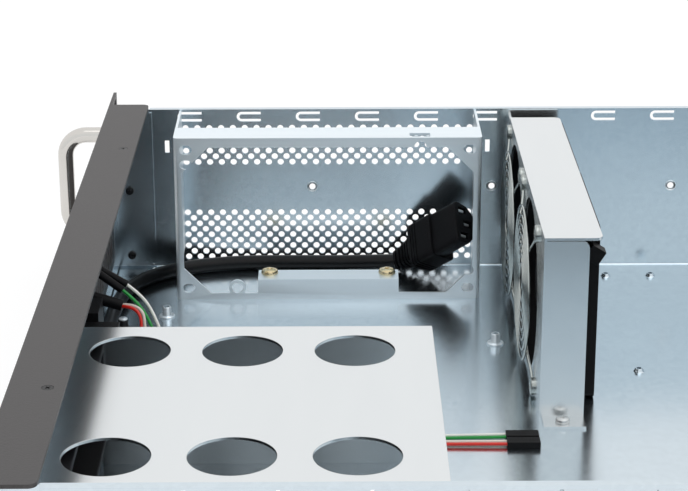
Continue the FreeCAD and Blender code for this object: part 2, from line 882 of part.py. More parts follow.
def psu_bracket():
    # Frame for the supply's rear face, standing off the left wall. Its zero
    # is the floor corner where its front side meets the wall.
    body = new_body("psu_bracket")
    plan = sketch_on(body, "XY")
    outline(plan, [
        ("0", "0"),
        ("psu_face", "0"),
        ("psu_face", "psu_width"),
        ("0", "psu_width"),
        ("0", "psu_width - sheet"),
        ("psu_face - sheet", "psu_width - sheet"),
        ("psu_face - sheet", "sheet"),
        ("0", "sheet"),
    ])
    pad(plan, "psu_height")
    top = sketch_on(body, "XY", "psu_height")
    box_outline(top, "psu_face - psu_top_depth", "sheet", "psu_face", "psu_width - sheet")
    pad(top, "sheet", turned=True)
    ledge = sketch_on(body, "XY", "ledge_level")
    box_outline(ledge, "psu_face - ledge_depth", "ledge_start", "psu_face", "ledge_start + ledge_width")
    pad(ledge, "sheet", turned=True)

    window = sketch_on(body, "YZ", "psu_face - sheet / 2")
    near = "psu_member"
    far = "psu_width - psu_member"
    roof = "psu_height - psu_top_member"
    outline(window, [
        (near + " + psu_gusset", "psu_foot_member"),
        ("ledge_start", "psu_foot_member"),
        ("ledge_start", "ledge_level"),
        ("ledge_start + ledge_width", "ledge_level"),
        ("ledge_start + ledge_width", "psu_foot_member"),
        (far + " - psu_gusset", "psu_foot_member"),
        (far, "psu_foot_member + psu_gusset"),
        (far, roof + " - psu_gusset"),
        (far + " - psu_gusset", roof),
        (near + " + psu_gusset", roof),
        (near, roof + " - psu_gusset"),
        (near, "psu_foot_member + psu_gusset"),
    ])
    cut(window, "2 * sheet")

    # The ear round the odd screw hole of the upright supply
    ear = sketch_on(body, "YZ", "psu_face")
    circle(ear, "psu_odd_hole", "psu_hole_inset", "2 * psu_ear")
    pad(ear, "sheet", turned=True)

    # Screw holes for the supply either way up
    holes = sketch_on(body, "YZ", "psu_face - sheet / 2")
    edge = "psu_hole_inset"
    span = "psu_hole_inset + psu_hole_span"
    for y, z in ((edge, edge), (edge, "psu_height - psu_hole_long"), (span, edge),
                 (span, "psu_height - psu_hole_long")):
        long_hole(holes, y, z, "psu_hole_long", "psu_hole_tall")
    circle(holes, "psu_odd_hole", edge, "psu_odd_size")
    cut(holes, "2 * sheet")
    bites = sketch_on(body, "YZ", "psu_face - sheet / 2")
    long_hole(bites, edge, edge + " + psu_hole_rise", "psu_hole_long", "psu_hole_tall")
    long_hole(bites, span, edge + " + psu_hole_tall * 2", "psu_hole_long", "psu_hole_tall")
    circle(bites, "psu_width - psu_odd_hole", roof, "psu_hole_long")
    cut(bites, "2 * sheet")
    relief = sketch_on(body, "XY", "psu_height - sheet / 2")
    box_outline(relief, "psu_face - notch_depth", "notch_start", "psu_face - fold - sheet",
                "notch_start + notch_width")
    cut(relief, "2 * sheet")

    # The mains cord passes through the front side beside the wall.
    gate = sketch_on(body, "XZ", "sheet / 2")
    box_outline(gate, "-sheet", "-sheet", "psu_gate_width", "cord_gate_height")
    cut(gate, "2 * sheet")

    screws = sketch_on(body, "XY", "ledge_level - sheet / 2")
    for y in ("ledge_start + ledge_screw_inset", "ledge_start + ledge_width - ledge_screw_inset"):
        circle(screws, "psu_face - ledge_screw_in", y, "screw_shank + screw_play")
    cut(screws, "2 * sheet")
    round_folds(body, [
        ("z", "psu_face", "0", False),
        ("z", "psu_face", "psu_width", False),
        ("z", "psu_face - sheet", "sheet", True),
        ("z", "psu_face - sheet", "psu_width - sheet", True),
    ], "fold", "fold + sheet")
    clear_folds(body, "psu_width / 2", "psu_width + 2 * sheet")
    return node(body, "psu_bracket", "0", "psu_start", "0")


def psu_support():
    # Hat-shaped bridge on the floor that carries the bracket's ledge.
    body = new_body("psu_support")
    section = sketch_on(body, "YZ", "psu_face - ledge_depth")
    near = "ledge_start + sheet"
    far = "ledge_start + ledge_width - sheet"
    roof = "ledge_level - sheet"
    outline(section, [
        (near, "0"),
        (near + " + sheet", "0"),
        (near + " + sheet", roof + " - sheet"),
        (far + " - sheet", roof + " - sheet"),
        (far + " - sheet", "0"),
        (far, "0"),
        (far, roof),
        (near, roof),
    ])
    pad(section, "ledge_depth - sheet - seat_gap")
    holes = sketch_on(body, "XY", roof + " - sheet / 2")
    for y in ("ledge_start + ledge_screw_inset", "ledge_start + ledge_width - ledge_screw_inset"):
        circle(holes, "psu_face - ledge_screw_in", y, "screw_shank + screw_play")
    cut(holes, "2 * sheet")
    return node(body, "psu_support", "0", "psu_start", "0")


def psu_bracket_screws():
    pieces = []
    for index, y in enumerate(("ledge_start + ledge_screw_inset",
                               "ledge_start + ledge_width - ledge_screw_inset")):
        pieces.append(screw("ledge_screw_%d" % index, "psu_face - ledge_screw_in", y, "ledge_level",
                            "-z", "screw_shank", "3 * sheet", "yellow_head", "screw_head_height"))
    return node(group("psu_bracket_screws", pieces), "psu_bracket_screws", "0", "psu_start", "0")


def fan_wall():
    # Folded wall across the case that carries the two fans.
    body = new_body("fan_wall")
    plan = sketch_on(body, "XY")
    outline(plan, [
        ("0", "0"),
        ("fan_wall_width", "0"),
        ("fan_wall_width", "fan_end_depth"),
        ("fan_wall_width - sheet", "fan_end_depth"),
        ("fan_wall_width - sheet", "sheet"),
        ("sheet", "sheet"),
        ("sheet", "fan_top_depth"),
        ("0", "fan_top_depth"),
    ])
    pad(plan, "fan_wall_top - sheet")
    tab = sketch_on(body, "XY")
    box_outline(tab, "0", "0", "sheet", "fan_top_depth")
    pad(tab, "fan_tab_top")
    crown = sketch_on(body, "XZ")
    box_outline(crown, "fan_top_start", "fan_wall_top - 2 * sheet", "fan_wall_width", "fan_wall_top")
    pad(crown, "sheet", turned=True)
    top = sketch_on(body, "XY", "fan_wall_top")
    box_outline(top, "fan_top_start", "0", "fan_wall_width", "fan_top_depth")
    pad(top, "sheet", turned=True)
    foot = sketch_on(body, "XY")
    box_outline(foot, "fan_wall_width - sheet", "sheet", "fan_wall_width + fan_foot", "fan_end_depth")
    pad(foot, "sheet")

    gap = sketch_on(body, "XZ", "fan_top_depth / 2 + sheet")
    box_outline(gap, "fan_wall_width - 2 * sheet", "fan_wall_top - sheet - fan_end_drop",
                "fan_wall_width + sheet", "fan_wall_top - sheet")
    cut(gap, "fan_top_depth")
    openings = sketch_on(body, "XZ", "sheet / 2")
    circle(openings, "fan_first", "fan_level", "fan_opening")
    for side in ("-", "+"):
        for end in ("-", "+"):
            circle(openings, "fan_first" + side + "fan_hole_pitch / 2",
                   "fan_level" + end + "fan_hole_pitch / 2",
                   "fan_hole")
    row_of(cut(openings, "3 * sheet"), "H_Axis", "fan_pitch", "fan_count")
    foot_hole = sketch_on(body, "XY", "sheet / 2")
    circle(foot_hole, "fan_wall_width + fan_foot / 2", "fan_end_depth / 2", "screw_shank + screw_play")
    cut(foot_hole, "2 * sheet")
    round_folds(body, [
        ("x", "fan_end_depth", "fan_wall_top - sheet - fan_end_drop", False),
        ("z", "fan_wall_width", "fan_top_depth", False),
        ("z", "fan_top_start", "fan_top_depth", False),
    ], "fan_end_round", "fan_end_round")
    clear_folds(body, "fan_top_depth / 2", "fan_top_depth + 2 * sheet")
    return node(body, "fan_wall", "0", "fan_wall_start", "0")


def fan_wall_screws():
    pieces = [screw("fan_wall_screw_0", "fan_wall_width + fan_foot / 2", "fan_end_depth / 2", "sheet",
                    "-z", "screw_shank", "sheet")]
    return node(group("fan_wall_screws", pieces), "fan_wall_screws", "0", "fan_wall_start", "0")


def fan_places():
    return (("left", "fan_first"), ("right", "fan_first + fan_pitch"))


def fan_frame(side, across):
    # Square housing with a round duct; three struts at the rear carry the
    # motor plate and its shaft. Its zero is the centre of the front face.
    body = new_body("fan_frame_" + side)
    shell = sketch_on(body, "XZ")
    half = "fan_size / 2"
    box_outline(shell, "-" + half, "-" + half, half, half)
    circle(shell, "0", "0", "fan_bore")
    for x in ("-", ""):
        for z in ("-", ""):
            circle(shell, x + "fan_hole_pitch / 2", z + "fan_hole_pitch / 2", "fan_hole")
    pad(shell, "fan_thick", turned=True)
    plate = sketch_on(body, "XZ", "fan_thick")
    circle(plate, "0", "0", "rotor_hub")
    pad(plate, "motor_plate")
    struts = sketch_on(body, "XZ", "fan_thick")
    reach = "(fan_bore / 2 + sheet)"
    box_outline(struts, "rotor_hub / 2 - sheet", "-strut_width / 2", reach, "strut_width / 2")
    bars = pad(struts, "motor_plate")
    ring = body.newObject("PartDesign::PolarPattern", body.Name + "_struts")
    ring.Originals = [bars]
    ring.Axis = (struts, ["N_Axis"])
    ring.Angle = 360
    ring.Occurrences = 3
    body.Tip = ring
    shaft = sketch_on(body, "XZ", "fan_thick - motor_plate")
    circle(shaft, "0", "0", "shaft_diameter")
    pad(shaft, "rotor_length - motor_plate")
    edges = [("y", x + half, z + half, False) for x in ("-", "") for z in ("-", "")]
    round_folds(body, edges, "fan_corner", "fan_corner")
    return node(body, "fan_frame_" + side, across, "fan_wall_start + sheet", "fan_level")


def fan_rotor(side, across):
    # Hub with seven pitched blades, on the frame's shaft. Same zero as the frame.
    body = new_body("fan_rotor_" + side)
    hub = sketch_on(body, "XZ", "rotor_front")
    circle(hub, "0", "0", "rotor_hub")
    pad(hub, "rotor_length", turned=True)
    bore = sketch_on(body, "XZ", "rotor_front + rotor_length")
    circle(bore, "0", "0", "shaft_diameter + 2 * seat_gap")
    cut(bore, "2 * (rotor_length - motor_plate)")
    middle = "(rotor_front + rotor_length / 2)"
    sections = []
    for place, turn in (("rotor_hub / 2 - 2 * sheet", "blade_root_pitch"),
                        ("fan_bore / 2 - blade_gap", "blade_tip_pitch")):
        section = sketch_on(body, "YZ", place)
        along = "blade_chord / 2 * sin(%s)" % turn
        rise = "blade_chord / 2 * cos(%s)" % turn
        thick_y = "blade_thick / 2 * cos(%s)" % turn
        thick_z = "blade_thick / 2 * sin(%s)" % turn
        outline(section, [
            ("%s - %s - %s" % (middle, along, thick_y), "-(%s) + %s" % (rise, thick_z)),
            ("%s + %s - %s" % (middle, along, thick_y), "%s + %s" % (rise, thick_z)),
            ("%s + %s + %s" % (middle, along, thick_y), "%s - %s" % (rise, thick_z)),
            ("%s - %s + %s" % (middle, along, thick_y), "-(%s) - %s" % (rise, thick_z)),
        ])
        sections.append(section)
    blade = body.newObject("PartDesign::AdditiveLoft", body.Name + "_blade")
    blade.Profile = sections[0]
    blade.Sections = sections[1:]
    ring = body.newObject("PartDesign::PolarPattern", body.Name + "_blades")
    ring.Originals = [blade]
    ring.Axis = (hub, ["N_Axis"])
    ring.Angle = 360
    ring.setExpression("Occurrences", rule("blade_count"))
    body.Tip = ring
    return node(body, "fan_rotor_" + side, across, "fan_wall_start + sheet", "fan_level")


def wire_ring(name, diameter, depth):
    rims = []
    for part, grow in (("outer", "+"), ("inner", "-")):
        rim = doc.addObject("Part::Prism", "%s_%s" % (name, part))
        rim.setExpression("Polygon", rule("guard_sides"))
        rim.setExpression("Circumradius", rule("(%s %s guard_wire) / 2" % (diameter, grow)))
        rim.setExpression("Height", rule("guard_wire"))
        rim.Placement = Placement(Vector(), directions["+y"])
        put(rim, "0", depth, "0")
        rims.append(rim)
    return less(name, rims[0], rims[1:])


def fan_guard(side, across):
    # Wire guard: rings on two crossed bars that end in eyes at the screws.
    name = "fan_guard_" + side
    pieces = []
    for step in range(3):
        pieces.append(wire_ring("%s_ring_%d" % (name, step),
                                "guard_first_ring + %d * guard_ring_step" % step,
                                "guard_weld - 2 * guard_wire"))
    reach = "(fan_hole_pitch * sqrt(2))"
    for turn in (45, 135):
        bar = block("%s_bar_%d" % (name, turn), reach, "guard_wire", "guard_wire")
        spin = Rotation(Vector(0, 1, 0), turn)
        bar.Placement = Placement(Vector(), spin)
        corner = {45: ("-", "+"), 135: ("+", "+")}[turn]
        lift = "guard_wire / 2 * sqrt(0.5)"
        if turn == 45:
            put(bar, "-fan_hole_pitch / 2 - " + lift, "-guard_wire", "fan_hole_pitch / 2 - " + lift)
        else:
            put(bar, "fan_hole_pitch / 2 - " + lift, "-guard_wire", "fan_hole_pitch / 2 + " + lift)
        pieces.append(bar)
    holes = []
    for index, (x, z) in enumerate((a, b) for a in ("-", "") for b in ("-", "")):
        place = (x + "fan_hole_pitch / 2", "-guard_wire", z + "fan_hole_pitch / 2", "+y")
        pieces.append(rod("%s_eye_%d" % (name, index), "guard_eye", "guard_wire", *place))
        holes.append(rod("%s_hole_%d" % (name, index), "fan_hole", "guard_wire", *place))
    guard = less(name, fuse(name + "_wires", pieces), holes)
    return node(guard, name, across, "fan_wall_start", "fan_level")


def fan_screws():
    pieces = []
    for side, across in fan_places():
        for index, (x, z) in enumerate((a, b) for a in "-+" for b in "-+"):
            pieces.append(screw("fan_screw_%s_%d" % (side, index), across + x + "fan_hole_pitch / 2",
                                "fan_wall_start - guard_wire", "fan_level" + z + "fan_hole_pitch / 2",
                                "+y", "fan_hole - screw_play", "fan_screw_length", "guard_eye"))
    return node(group("fan_screws", pieces), "fan_screws")


def button(name):
    # Cap through the panel, a collar behind it and a stem into the switch.
    label = name + "_button"
    cap = name + "_cap"
    back = "panel_sheet + seat_gap"
    pieces = [
        rod(label + "_cap", cap, "button_proud + %s" % back, "0", "-button_proud", "0", "+y"),
        rod(label + "_collar", "(%s + 2 * trim_rim)" % cap, "sheet", "0", back, "0", "+y"),
        rod(label + "_stem", "stem_diameter", name + "_depth / 2", "0", back, "0", "+y"),
    ]
    return node(fuse(label, pieces), label, name + "_across", "0", name + "_level")


def switch(name):
    # Housing on the back of the panel: a round well for the button's collar
    # and a narrow bore for its stem.
    label = name + "_switch"
    housing = name + "_housing"
    depth = name + "_depth"
    half = "-%s / 2" % housing
    shell = block(label + "_shell", housing, depth, housing, half, "panel_sheet", half)
    well = rod(label + "_well", "(%s_cap + 2 * trim_rim + 2 * seat_gap)" % name,
               "seat_gap * 2 + sheet + button_travel",
               "0", "panel_sheet", "0", "+y")
    bore = rod(label + "_bore", "stem_diameter + 2 * seat_gap",
               depth + " / 2 + 2 * seat_gap + button_travel", "0", "panel_sheet", "0", "+y")
    return node(less(label, shell, [well, bore]), label, name + "_across", "0", name + "_level")


def lamp(label, across, level):
    lens = rod(label + "_lens", "led_diameter", "led_length", "0", "-panel_sheet", "0", "+y")
    rim = rod(label + "_rim", "led_diameter + 2 * trim_rim", "sheet", "0", "panel_sheet", "0", "+y")
    return node(fuse(label, [lens, rim]), label, across, "0", level)


def usb_ports():
    # Two stacked sockets in one black block on the back of the panel.
    wide = "usb_width - 2 * seat_gap"
    high = "usb_height - 2 * seat_gap"
    face = block("usb_face", wide, "usb_depth", high, "-(%s) / 2" % wide, "0", "-(%s) / 2" % high)
    rim = block("usb_rim", "usb_width + 2 * trim_rim", "usb_depth - panel_sheet",
                "usb_height + 2 * trim_rim",
                "-usb_width / 2 - trim_rim", "panel_sheet", "-usb_height / 2 - trim_rim")
    wells = []
    for index, z in enumerate(("-usb_height / 4", "usb_height / 4")):
        wells.append(block("usb_well_%d" % index, "usb_width - 2 * usb_wall", "usb_depth - usb_back",
                           "usb_height / 2 - usb_divider", "usb_wall - usb_width / 2", "0",
                           z + " - (usb_height / 2 - usb_divider) / 2"))
    return node(less("usb_ports", fuse("usb_block", [face, rim]), wells), "usb_ports",
                "usb_across", "0", "usb_level")


def bent_tube(name, spots, diameter):
    # Tube along straight runs joined by tangent arcs, each arc as large as
    # its two runs allow. Prints the radii, and the volume against the path.
    points = [Vector(*spot) for spot in spots]
    edges = []
    start = points[0]
    radii = []
    for before, corner, after in zip(points, points[1:], points[2:]):
        back = before - corner
        ahead = after - corner
        turn = math.pi - back.getAngle(ahead)
        room = 0.45 * min(back.Length, ahead.Length)
        radii.append(room / math.tan(turn / 2))
        enter = corner + back.normalize() * room
        leave = corner + ahead.normalize() * room
        centre_way = (back + ahead).normalize()
        centre_far = math.hypot(radii[-1], room)
        peak = corner + centre_way * (centre_far - radii[-1])
        edges.append(Part.LineSegment(start, enter).toShape())
        edges.append(Part.Arc(enter, peak, leave).toShape())
        start = leave
    edges.append(Part.LineSegment(start, points[-1]).toShape())
    wire = Part.Wire(edges)
    ring = Part.Wire([Part.Circle(points[0], points[1] - points[0], number(diameter) / 2).toShape()])
    tube = wire.makePipeShell([ring], True, False)
    piece = doc.addObject("Part::Feature", name)
    piece.Shape = tube
    section = math.pi * (number(diameter) / 2) ** 2
    print("%s: length %.1f, radii %s, volume ratio %.4f" % (
        name, wire.Length, [round(radius, 1) for radius in radii], tube.Volume / (section * wire.Length)))
    return piece


def mains_plug():
    # Line socket on the cord: a tapered body with three slots and a boot that
    # bends down to the cord. Its own +X points out of the socket's face.
    body = new_body("mains_plug")
    half = "plug_width / 2"
    rise = "plug_height / 2"
    ends = []
    for place, share in (("-plug_length", "plug_taper"), ("0", "1")):
        section = sketch_on(body, "YZ", place)
        outline(section, [
            ("-%s * %s" % (half, share), "-%s * %s" % (rise, share)),
            ("%s * %s" % (half, share), "-%s * %s" % (rise, share)),
            ("%s * %s" % (half, share), "(%s - plug_chamfer) * %s" % (rise, share)),
            ("(%s - plug_chamfer) * %s" % (half, share), "%s * %s" % (rise, share)),
            ("(plug_chamfer - %s) * %s" % (half, share), "%s * %s" % (rise, share)),
            ("-%s * %s" % (half, share), "(%s - plug_chamfer) * %s" % (rise, share)),
        ])
        ends.append(section)
    shell = body.newObject("PartDesign::AdditiveLoft", "mains_plug_body")
    shell.Profile = ends[0]
    shell.Sections = ends[1:]
    slots = sketch_on(body, "YZ")
    for y, z in (("-pin_pitch / 2", "-pin_thick"), ("pin_pitch / 2", "-pin_thick"), ("0", "pin_thick")):
        box_outline(slots, y + " - pin_thick / 2", z + " - pin_width / 2", y + " + pin_thick / 2",
                    z + " + pin_width / 2")
    cut(slots, "2 * plug_slot_depth")
    rings = []
    for share, width in (("0", "boot_front"), ("0.5", "boot_middle"), ("1", "boot_rear")):
        ring = sketch_on(body, "YZ", "-plug_length - boot_length * " + share)
        circle(ring, "boot_drop * %s * %s" % (share, share), "boot_swing * %s * %s" % (share, share), width)
        rings.append(ring)
    boot = body.newObject("PartDesign::AdditiveLoft", "mains_plug_boot")
    boot.Profile = rings[0]
    boot.Sections = rings[1:]
    body.Placement = Placement(Vector(), Rotation(*(number("plug_" + way) for way in ("yaw", "pitch",
                                                                                      "roll"))))
    return node(body, "mains_plug", "plug_x", "plug_y", "plug_z")


# Where the mains cord runs, as distances to the right of the left wall's inner
# face, behind the panel's face and above the floor
cord_route = [
    (9.0, 144.8, 5.7), (5.6, 122.0, 3.9), (4.3, 93.0, 3.7), (4.8, 62.0, 3.8), (13.5, 33.0, 3.7),
    (36.0, 11.5, 3.8), (69.0, 6.9, 3.7), (112.0, 7.4, 3.8), (165.0, 6.8, 3.7), (220.0, 7.3, 3.8),
    (275.0, 6.8, 3.7), (329.0, 7.4, 3.8), (369.0, 8.0, 3.7), (398.0, 14.5, 3.8), (416.5, 40.0, 3.7),
    (422.0, 76.0, 3.8), (422.9, 125.0, 3.7), (422.3, 180.0, 3.8), (423.0, 235.0, 3.7), (422.4, 290.0, 3.8),
    (422.8, 345.0, 3.9), (419.5, 384.0, 5.4), (408.0, 414.0, 12.5), (397.2, 443.0, 22.6),
    (396.0, 469.6, 24.0),
]
wire_routes = {
    "wire_white": [
        (172.0, 23.8, 54.5), (173.2, 30.5, 49.6), (175.6, 35.4, 42.0), (180.0, 39.6, 32.0),
        (188.0, 45.5, 18.0),
        (198.0, 56.0, 6.0), (207.5, 76.0, 1.2), (212.4, 105.0, 1.0), (214.0, 135.0, 1.2),
        (213.2, 161.0, 1.0),
        (213.0, 186.0, 1.4),
    ],
    "wire_green": [
        (175.5, 22.1, 53.3), (177.0, 28.6, 48.4), (180.2, 34.0, 40.4), (185.4, 38.6, 29.6),
        (193.0, 45.0, 15.0),
        (203.0, 57.0, 4.0), (211.6, 77.0, 1.2), (215.8, 105.0, 1.3), (216.7, 135.0, 1.0),
        (215.8, 161.0, 1.2),
        (215.6, 186.0, 1.4),
    ],
    "wire_red": [
        (180.8, 22.2, 47.8), (184.6, 30.4, 49.0), (188.2, 32.4, 37.0), (194.0, 36.0, 23.5),
        (202.5, 44.0, 10.0),
        (211.0, 58.5, 2.6), (218.3, 80.0, 1.2), (221.8, 106.0, 1.3), (222.5, 134.0, 1.1),
        (222.1, 160.0, 1.3),
        (222.6, 186.0, 1.4),
    ],
    "wire_cream": [
        (178.2, 22.2, 47.6), (181.4, 31.2, 48.8), (184.6, 33.6, 37.4), (190.0, 37.6, 24.0),
        (198.0, 46.0, 10.5),
        (206.5, 60.0, 2.6), (214.8, 80.0, 1.3), (218.7, 106.0, 1.1), (219.9, 134.0, 1.3),
        (219.6, 160.0, 1.1),
        (220.0, 186.0, 1.4),
    ],
}
sleeve_ends = [
    ((170.8, 6.8, 64.5), (172.0, 23.8, 54.5), "sleeve_diameter"),
    ((174.4, 6.8, 64.5), (175.5, 22.1, 53.3), "sleeve_diameter"),
    ((179.0, 6.6, 52.5), (179.5, 22.2, 47.7), "pair_sleeve"),
]


def wires():
    for name, route in wire_routes.items():
        node(bent_tube(name, route, "wire_diameter"), name)
    pieces = []
    for index, (start, end, width) in enumerate(sleeve_ends):
        pieces.append(bent_tube("led_sleeve_%d" % index, [start, end], width))
    node(group("led_sleeves", pieces), "led_sleeves")


def header_plugs():
    # Two small sockets at the wires' far ends, lying on the floor.
    pieces = []
    for index, pair in enumerate((("wire_white", "wire_green"), ("wire_cream", "wire_red"))):
        first, second = (wire_routes[name][-1] for name in pair)
        middle = (first[0] + second[0]) / 2
        pieces.append(block("header_plug_%d" % index, "header_width", "header_length", "header_height",
                            "%s - header_width / 2" % middle, str(first[1]), "0"))
    return node(group("header_plugs", pieces), "header_plugs")


def fan_plug():
    # Connector on the side of the right fan, turned on its corner.
    reach = "fan_plug * sqrt(0.5)"
    piece = block("fan_plug", "fan_plug", "fan_plug", "fan_plug")
    piece.Placement = Placement(Vector(), Rotation(Vector(1, 0, 0), 45))
    return node(piece, "fan_plug", "fan_first + fan_pitch + fan_size / 2",
                "fan_wall_start + sheet + fan_thick - fan_plug_back", "fan_level + fan_plug_rise - " + reach)


def rear_panel():
    # Rear wall with folded sides and top, cut for the board and its cards.
    body = new_body("rear_panel")
    plan = sketch_on(body, "XY")
    front = rear_inside + " - rear_side"
    outline(plan, [
        ("0", front),
        ("sheet", front),
        ("sheet", rear_inside),
        (inner_width + " - sheet", rear_inside),
        (inner_width + " - sheet", front),
        (inner_width, front),
        (inner_width, "case_depth"),
        ("0", "case_depth"),
    ])
    pad(plan, wall_top)
    top = sketch_on(body, "XY", wall_top)
    box_outline(top, "0", front, inner_width, "case_depth")
    pad(top, "sheet", turned=True)

    slot = sketch_on(body, "XZ", rear_inside + " + sheet / 2")
    box_outline(slot, slot_first + " - slot_width / 2", "slot_low", slot_first + " + slot_width / 2",
                "slot_high")
    circle(slot, slot_first, "cover_screw_level", "screw_shank + screw_play")
    row_of(cut(slot, "3 * sheet"), "H_Axis", "slot_pitch", "slot_count")
    holes = sketch_on(body, "XZ", rear_inside + " + sheet / 2")
    box_outline(holes, "shield_start", "shield_low", "shield_start + shield_width",
                "shield_low + shield_height")
    box_outline(holes, "inlet_across - inlet_width / 2 - trim_play",
                "inlet_level - inlet_height / 2 - trim_play",
                "inlet_across + inlet_width / 2 + trim_play", "inlet_level + inlet_height / 2 + trim_play")
    for side in ("-", "+"):
        circle(holes, "inlet_across %s inlet_screw_pitch / 2" % side, "inlet_level",
               "screw_shank + screw_play")
    cut(holes, "3 * sheet")
    vent = sketch_on(body, "XZ", rear_inside + " + sheet / 2")
    vent_left = "shield_start + shield_width + vent_pitch"
    box_outline(vent, vent_left, "vent_low", vent_left + " + vent_width", "vent_high")
    row_of(cut(vent, "3 * sheet"), "H_Axis", "vent_pitch", "rear_vent_count")
    clear_folds(body, rear_inside + " - rear_side / 2", "2 * rear_side", right=True)
    return node(body, "rear_panel")


def slot_covers():
    pieces = []
    for step in range(int(number("slot_count"))):
        across = "slot_last - %d * slot_pitch" % step
        plate = block("slot_cover_%d" % step, "cover_width", "cover_thick", "cover_high - cover_low",
                      across + " - cover_width / 2", rear_inside + " - cover_thick", "cover_low")
        hole = rod("slot_cover_hole_%d" % step, "screw_shank + screw_play", "2 * cover_thick", across,
                   rear_inside + " - 1.5 * cover_thick", "cover_screw_level", "+y")
        pieces.append(less("slot_plate_%d" % step, plate, [hole]))
    return node(group("slot_covers", pieces), "slot_covers")


def slot_screws():
    pieces = []
    for step in range(int(number("slot_count"))):
        pieces.append(screw("slot_screw_%d" % step, "slot_last - %d * slot_pitch" % step, "case_depth",
                            "cover_screw_level", "-y", "screw_shank", "sheet + cover_thick + screw_tip"))
    return node(group("slot_screws", pieces), "slot_screws")


def inlet():
    # Mains inlet: a well open to the rear, a flange outside and three pins.
    half = "-inlet_width / 2"
    low = "-inlet_height / 2"
    shell = block("inlet_shell", "inlet_width", "inlet_depth + inlet_flange_thick", "inlet_height",
                  half, "-inlet_depth", low)
    flange = block("inlet_flange", "inlet_flange_width", "inlet_flange_thick", "inlet_height + 2 * trim_rim",
                   "-inlet_flange_width / 2", "0", low + " - trim_rim")
    well = block("inlet_well_box", "inlet_width - 2 * inlet_wall", "inlet_well",
                 "inlet_height - 2 * inlet_wall",
                 half + " + inlet_wall", "inlet_flange_thick - inlet_well", low + " + inlet_wall")
    tools = [well]
    for side in ("-", "+"):
        tools.append(rod("inlet_hole" + {"-": "_left", "+": "_right"}[side], "screw_shank + screw_play",
                         "inlet_flange_thick", side + "inlet_screw_pitch / 2", "0", "0", "+y"))
    node(less("inlet_body", fuse("inlet_block", [shell, flange]), tools), "inlet_body",
         "inlet_across", "case_depth", "inlet_level")
    pins = []
    for index, (x, z) in enumerate((("-pin_pitch / 2", "-pin_thick"), ("pin_pitch / 2", "-pin_thick"),
                                    ("0", "pin_thick"))):
        pins.append(block("inlet_pin_%d" % index, "pin_thick", "inlet_well - inlet_flange_thick",
                          "pin_width",
                          x + " - pin_thick / 2", "inlet_flange_thick - inlet_well", z + " - pin_width / 2"))
    node(group("inlet_pins", pins), "inlet_pins", "inlet_across", "case_depth", "inlet_level")
    screws = []
    for index, side in enumerate("-+"):
        screws.append(screw("inlet_screw_%d" % index, side + "inlet_screw_pitch / 2", "inlet_flange_thick",
                            "0",
                            "-y", "screw_shank", "inlet_flange_thick + sheet + screw_tip"))
    node(group("inlet_screws", screws), "inlet_screws", "inlet_across", "case_depth", "inlet_level")


def floor_studs():
    pieces = []
    for side in ("near", "far"):
        spot = (side + "_stud_across", side + "_stud_depth")
        post = rod(side + "_post", "stud_diameter", "stud_height", *spot)
        collar = rod(side + "_collar", "stud_collar", "sheet / 2", *spot)
        pieces.append(fuse(side + "_stud", [post, collar]))
    return node(group("floor_studs", pieces), "floor_studs")


chassis_tray()
front_frame()
front_panel()
handle("left", "-")
handle("right", "+")
handle_screws()
panel_screws()
frame_screws()
drive_cage()
cage_screws()
bay_cover()
psu_bracket()
psu_support()
psu_bracket_screws()
floor_studs()
fan_wall()
fan_wall_screws()
for side, across in fan_places():
    fan_frame(side, across)
    fan_rotor(side, across)
    fan_guard(side, across)
fan_screws()
for name in ("power", "reset"):
    button(name)
    switch(name)
lamp("power_led", "led_across", "led_level")
lamp("disk_led", "disk_led_across", "disk_led_level")
usb_ports()
rear_panel()
slot_covers()
slot_screws()
inlet()
mains_plug()
node(bent_tube("mains_cord", cord_route, "cord_diameter"), "mains_cord")
wires()
header_plugs()
fan_plug()

doc.recompute()
failed = [item.Label for item in doc.Objects if "Invalid" in item.State or "Error" in item.State]
for piece in nodes:
    if piece.Shape.isNull() or not piece.Shape.isValid():
        failed.append(piece.Label)
if failed:
    raise RuntimeError("not built: " + ", ".join(failed))
os.makedirs("parts", exist_ok=True)
for piece in nodes:
    piece.Shape.exportStep("parts/" + piece.Label + ".step")
    print(piece.Label, len(piece.Shape.Solids), [round(side, 1) for side in (
        piece.Shape.BoundBox.XLength, piece.Shape.BoundBox.YLength, piece.Shape.BoundBox.ZLength)])
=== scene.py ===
import bmesh
import bpy
import math
from mathutils import Matrix, Vector


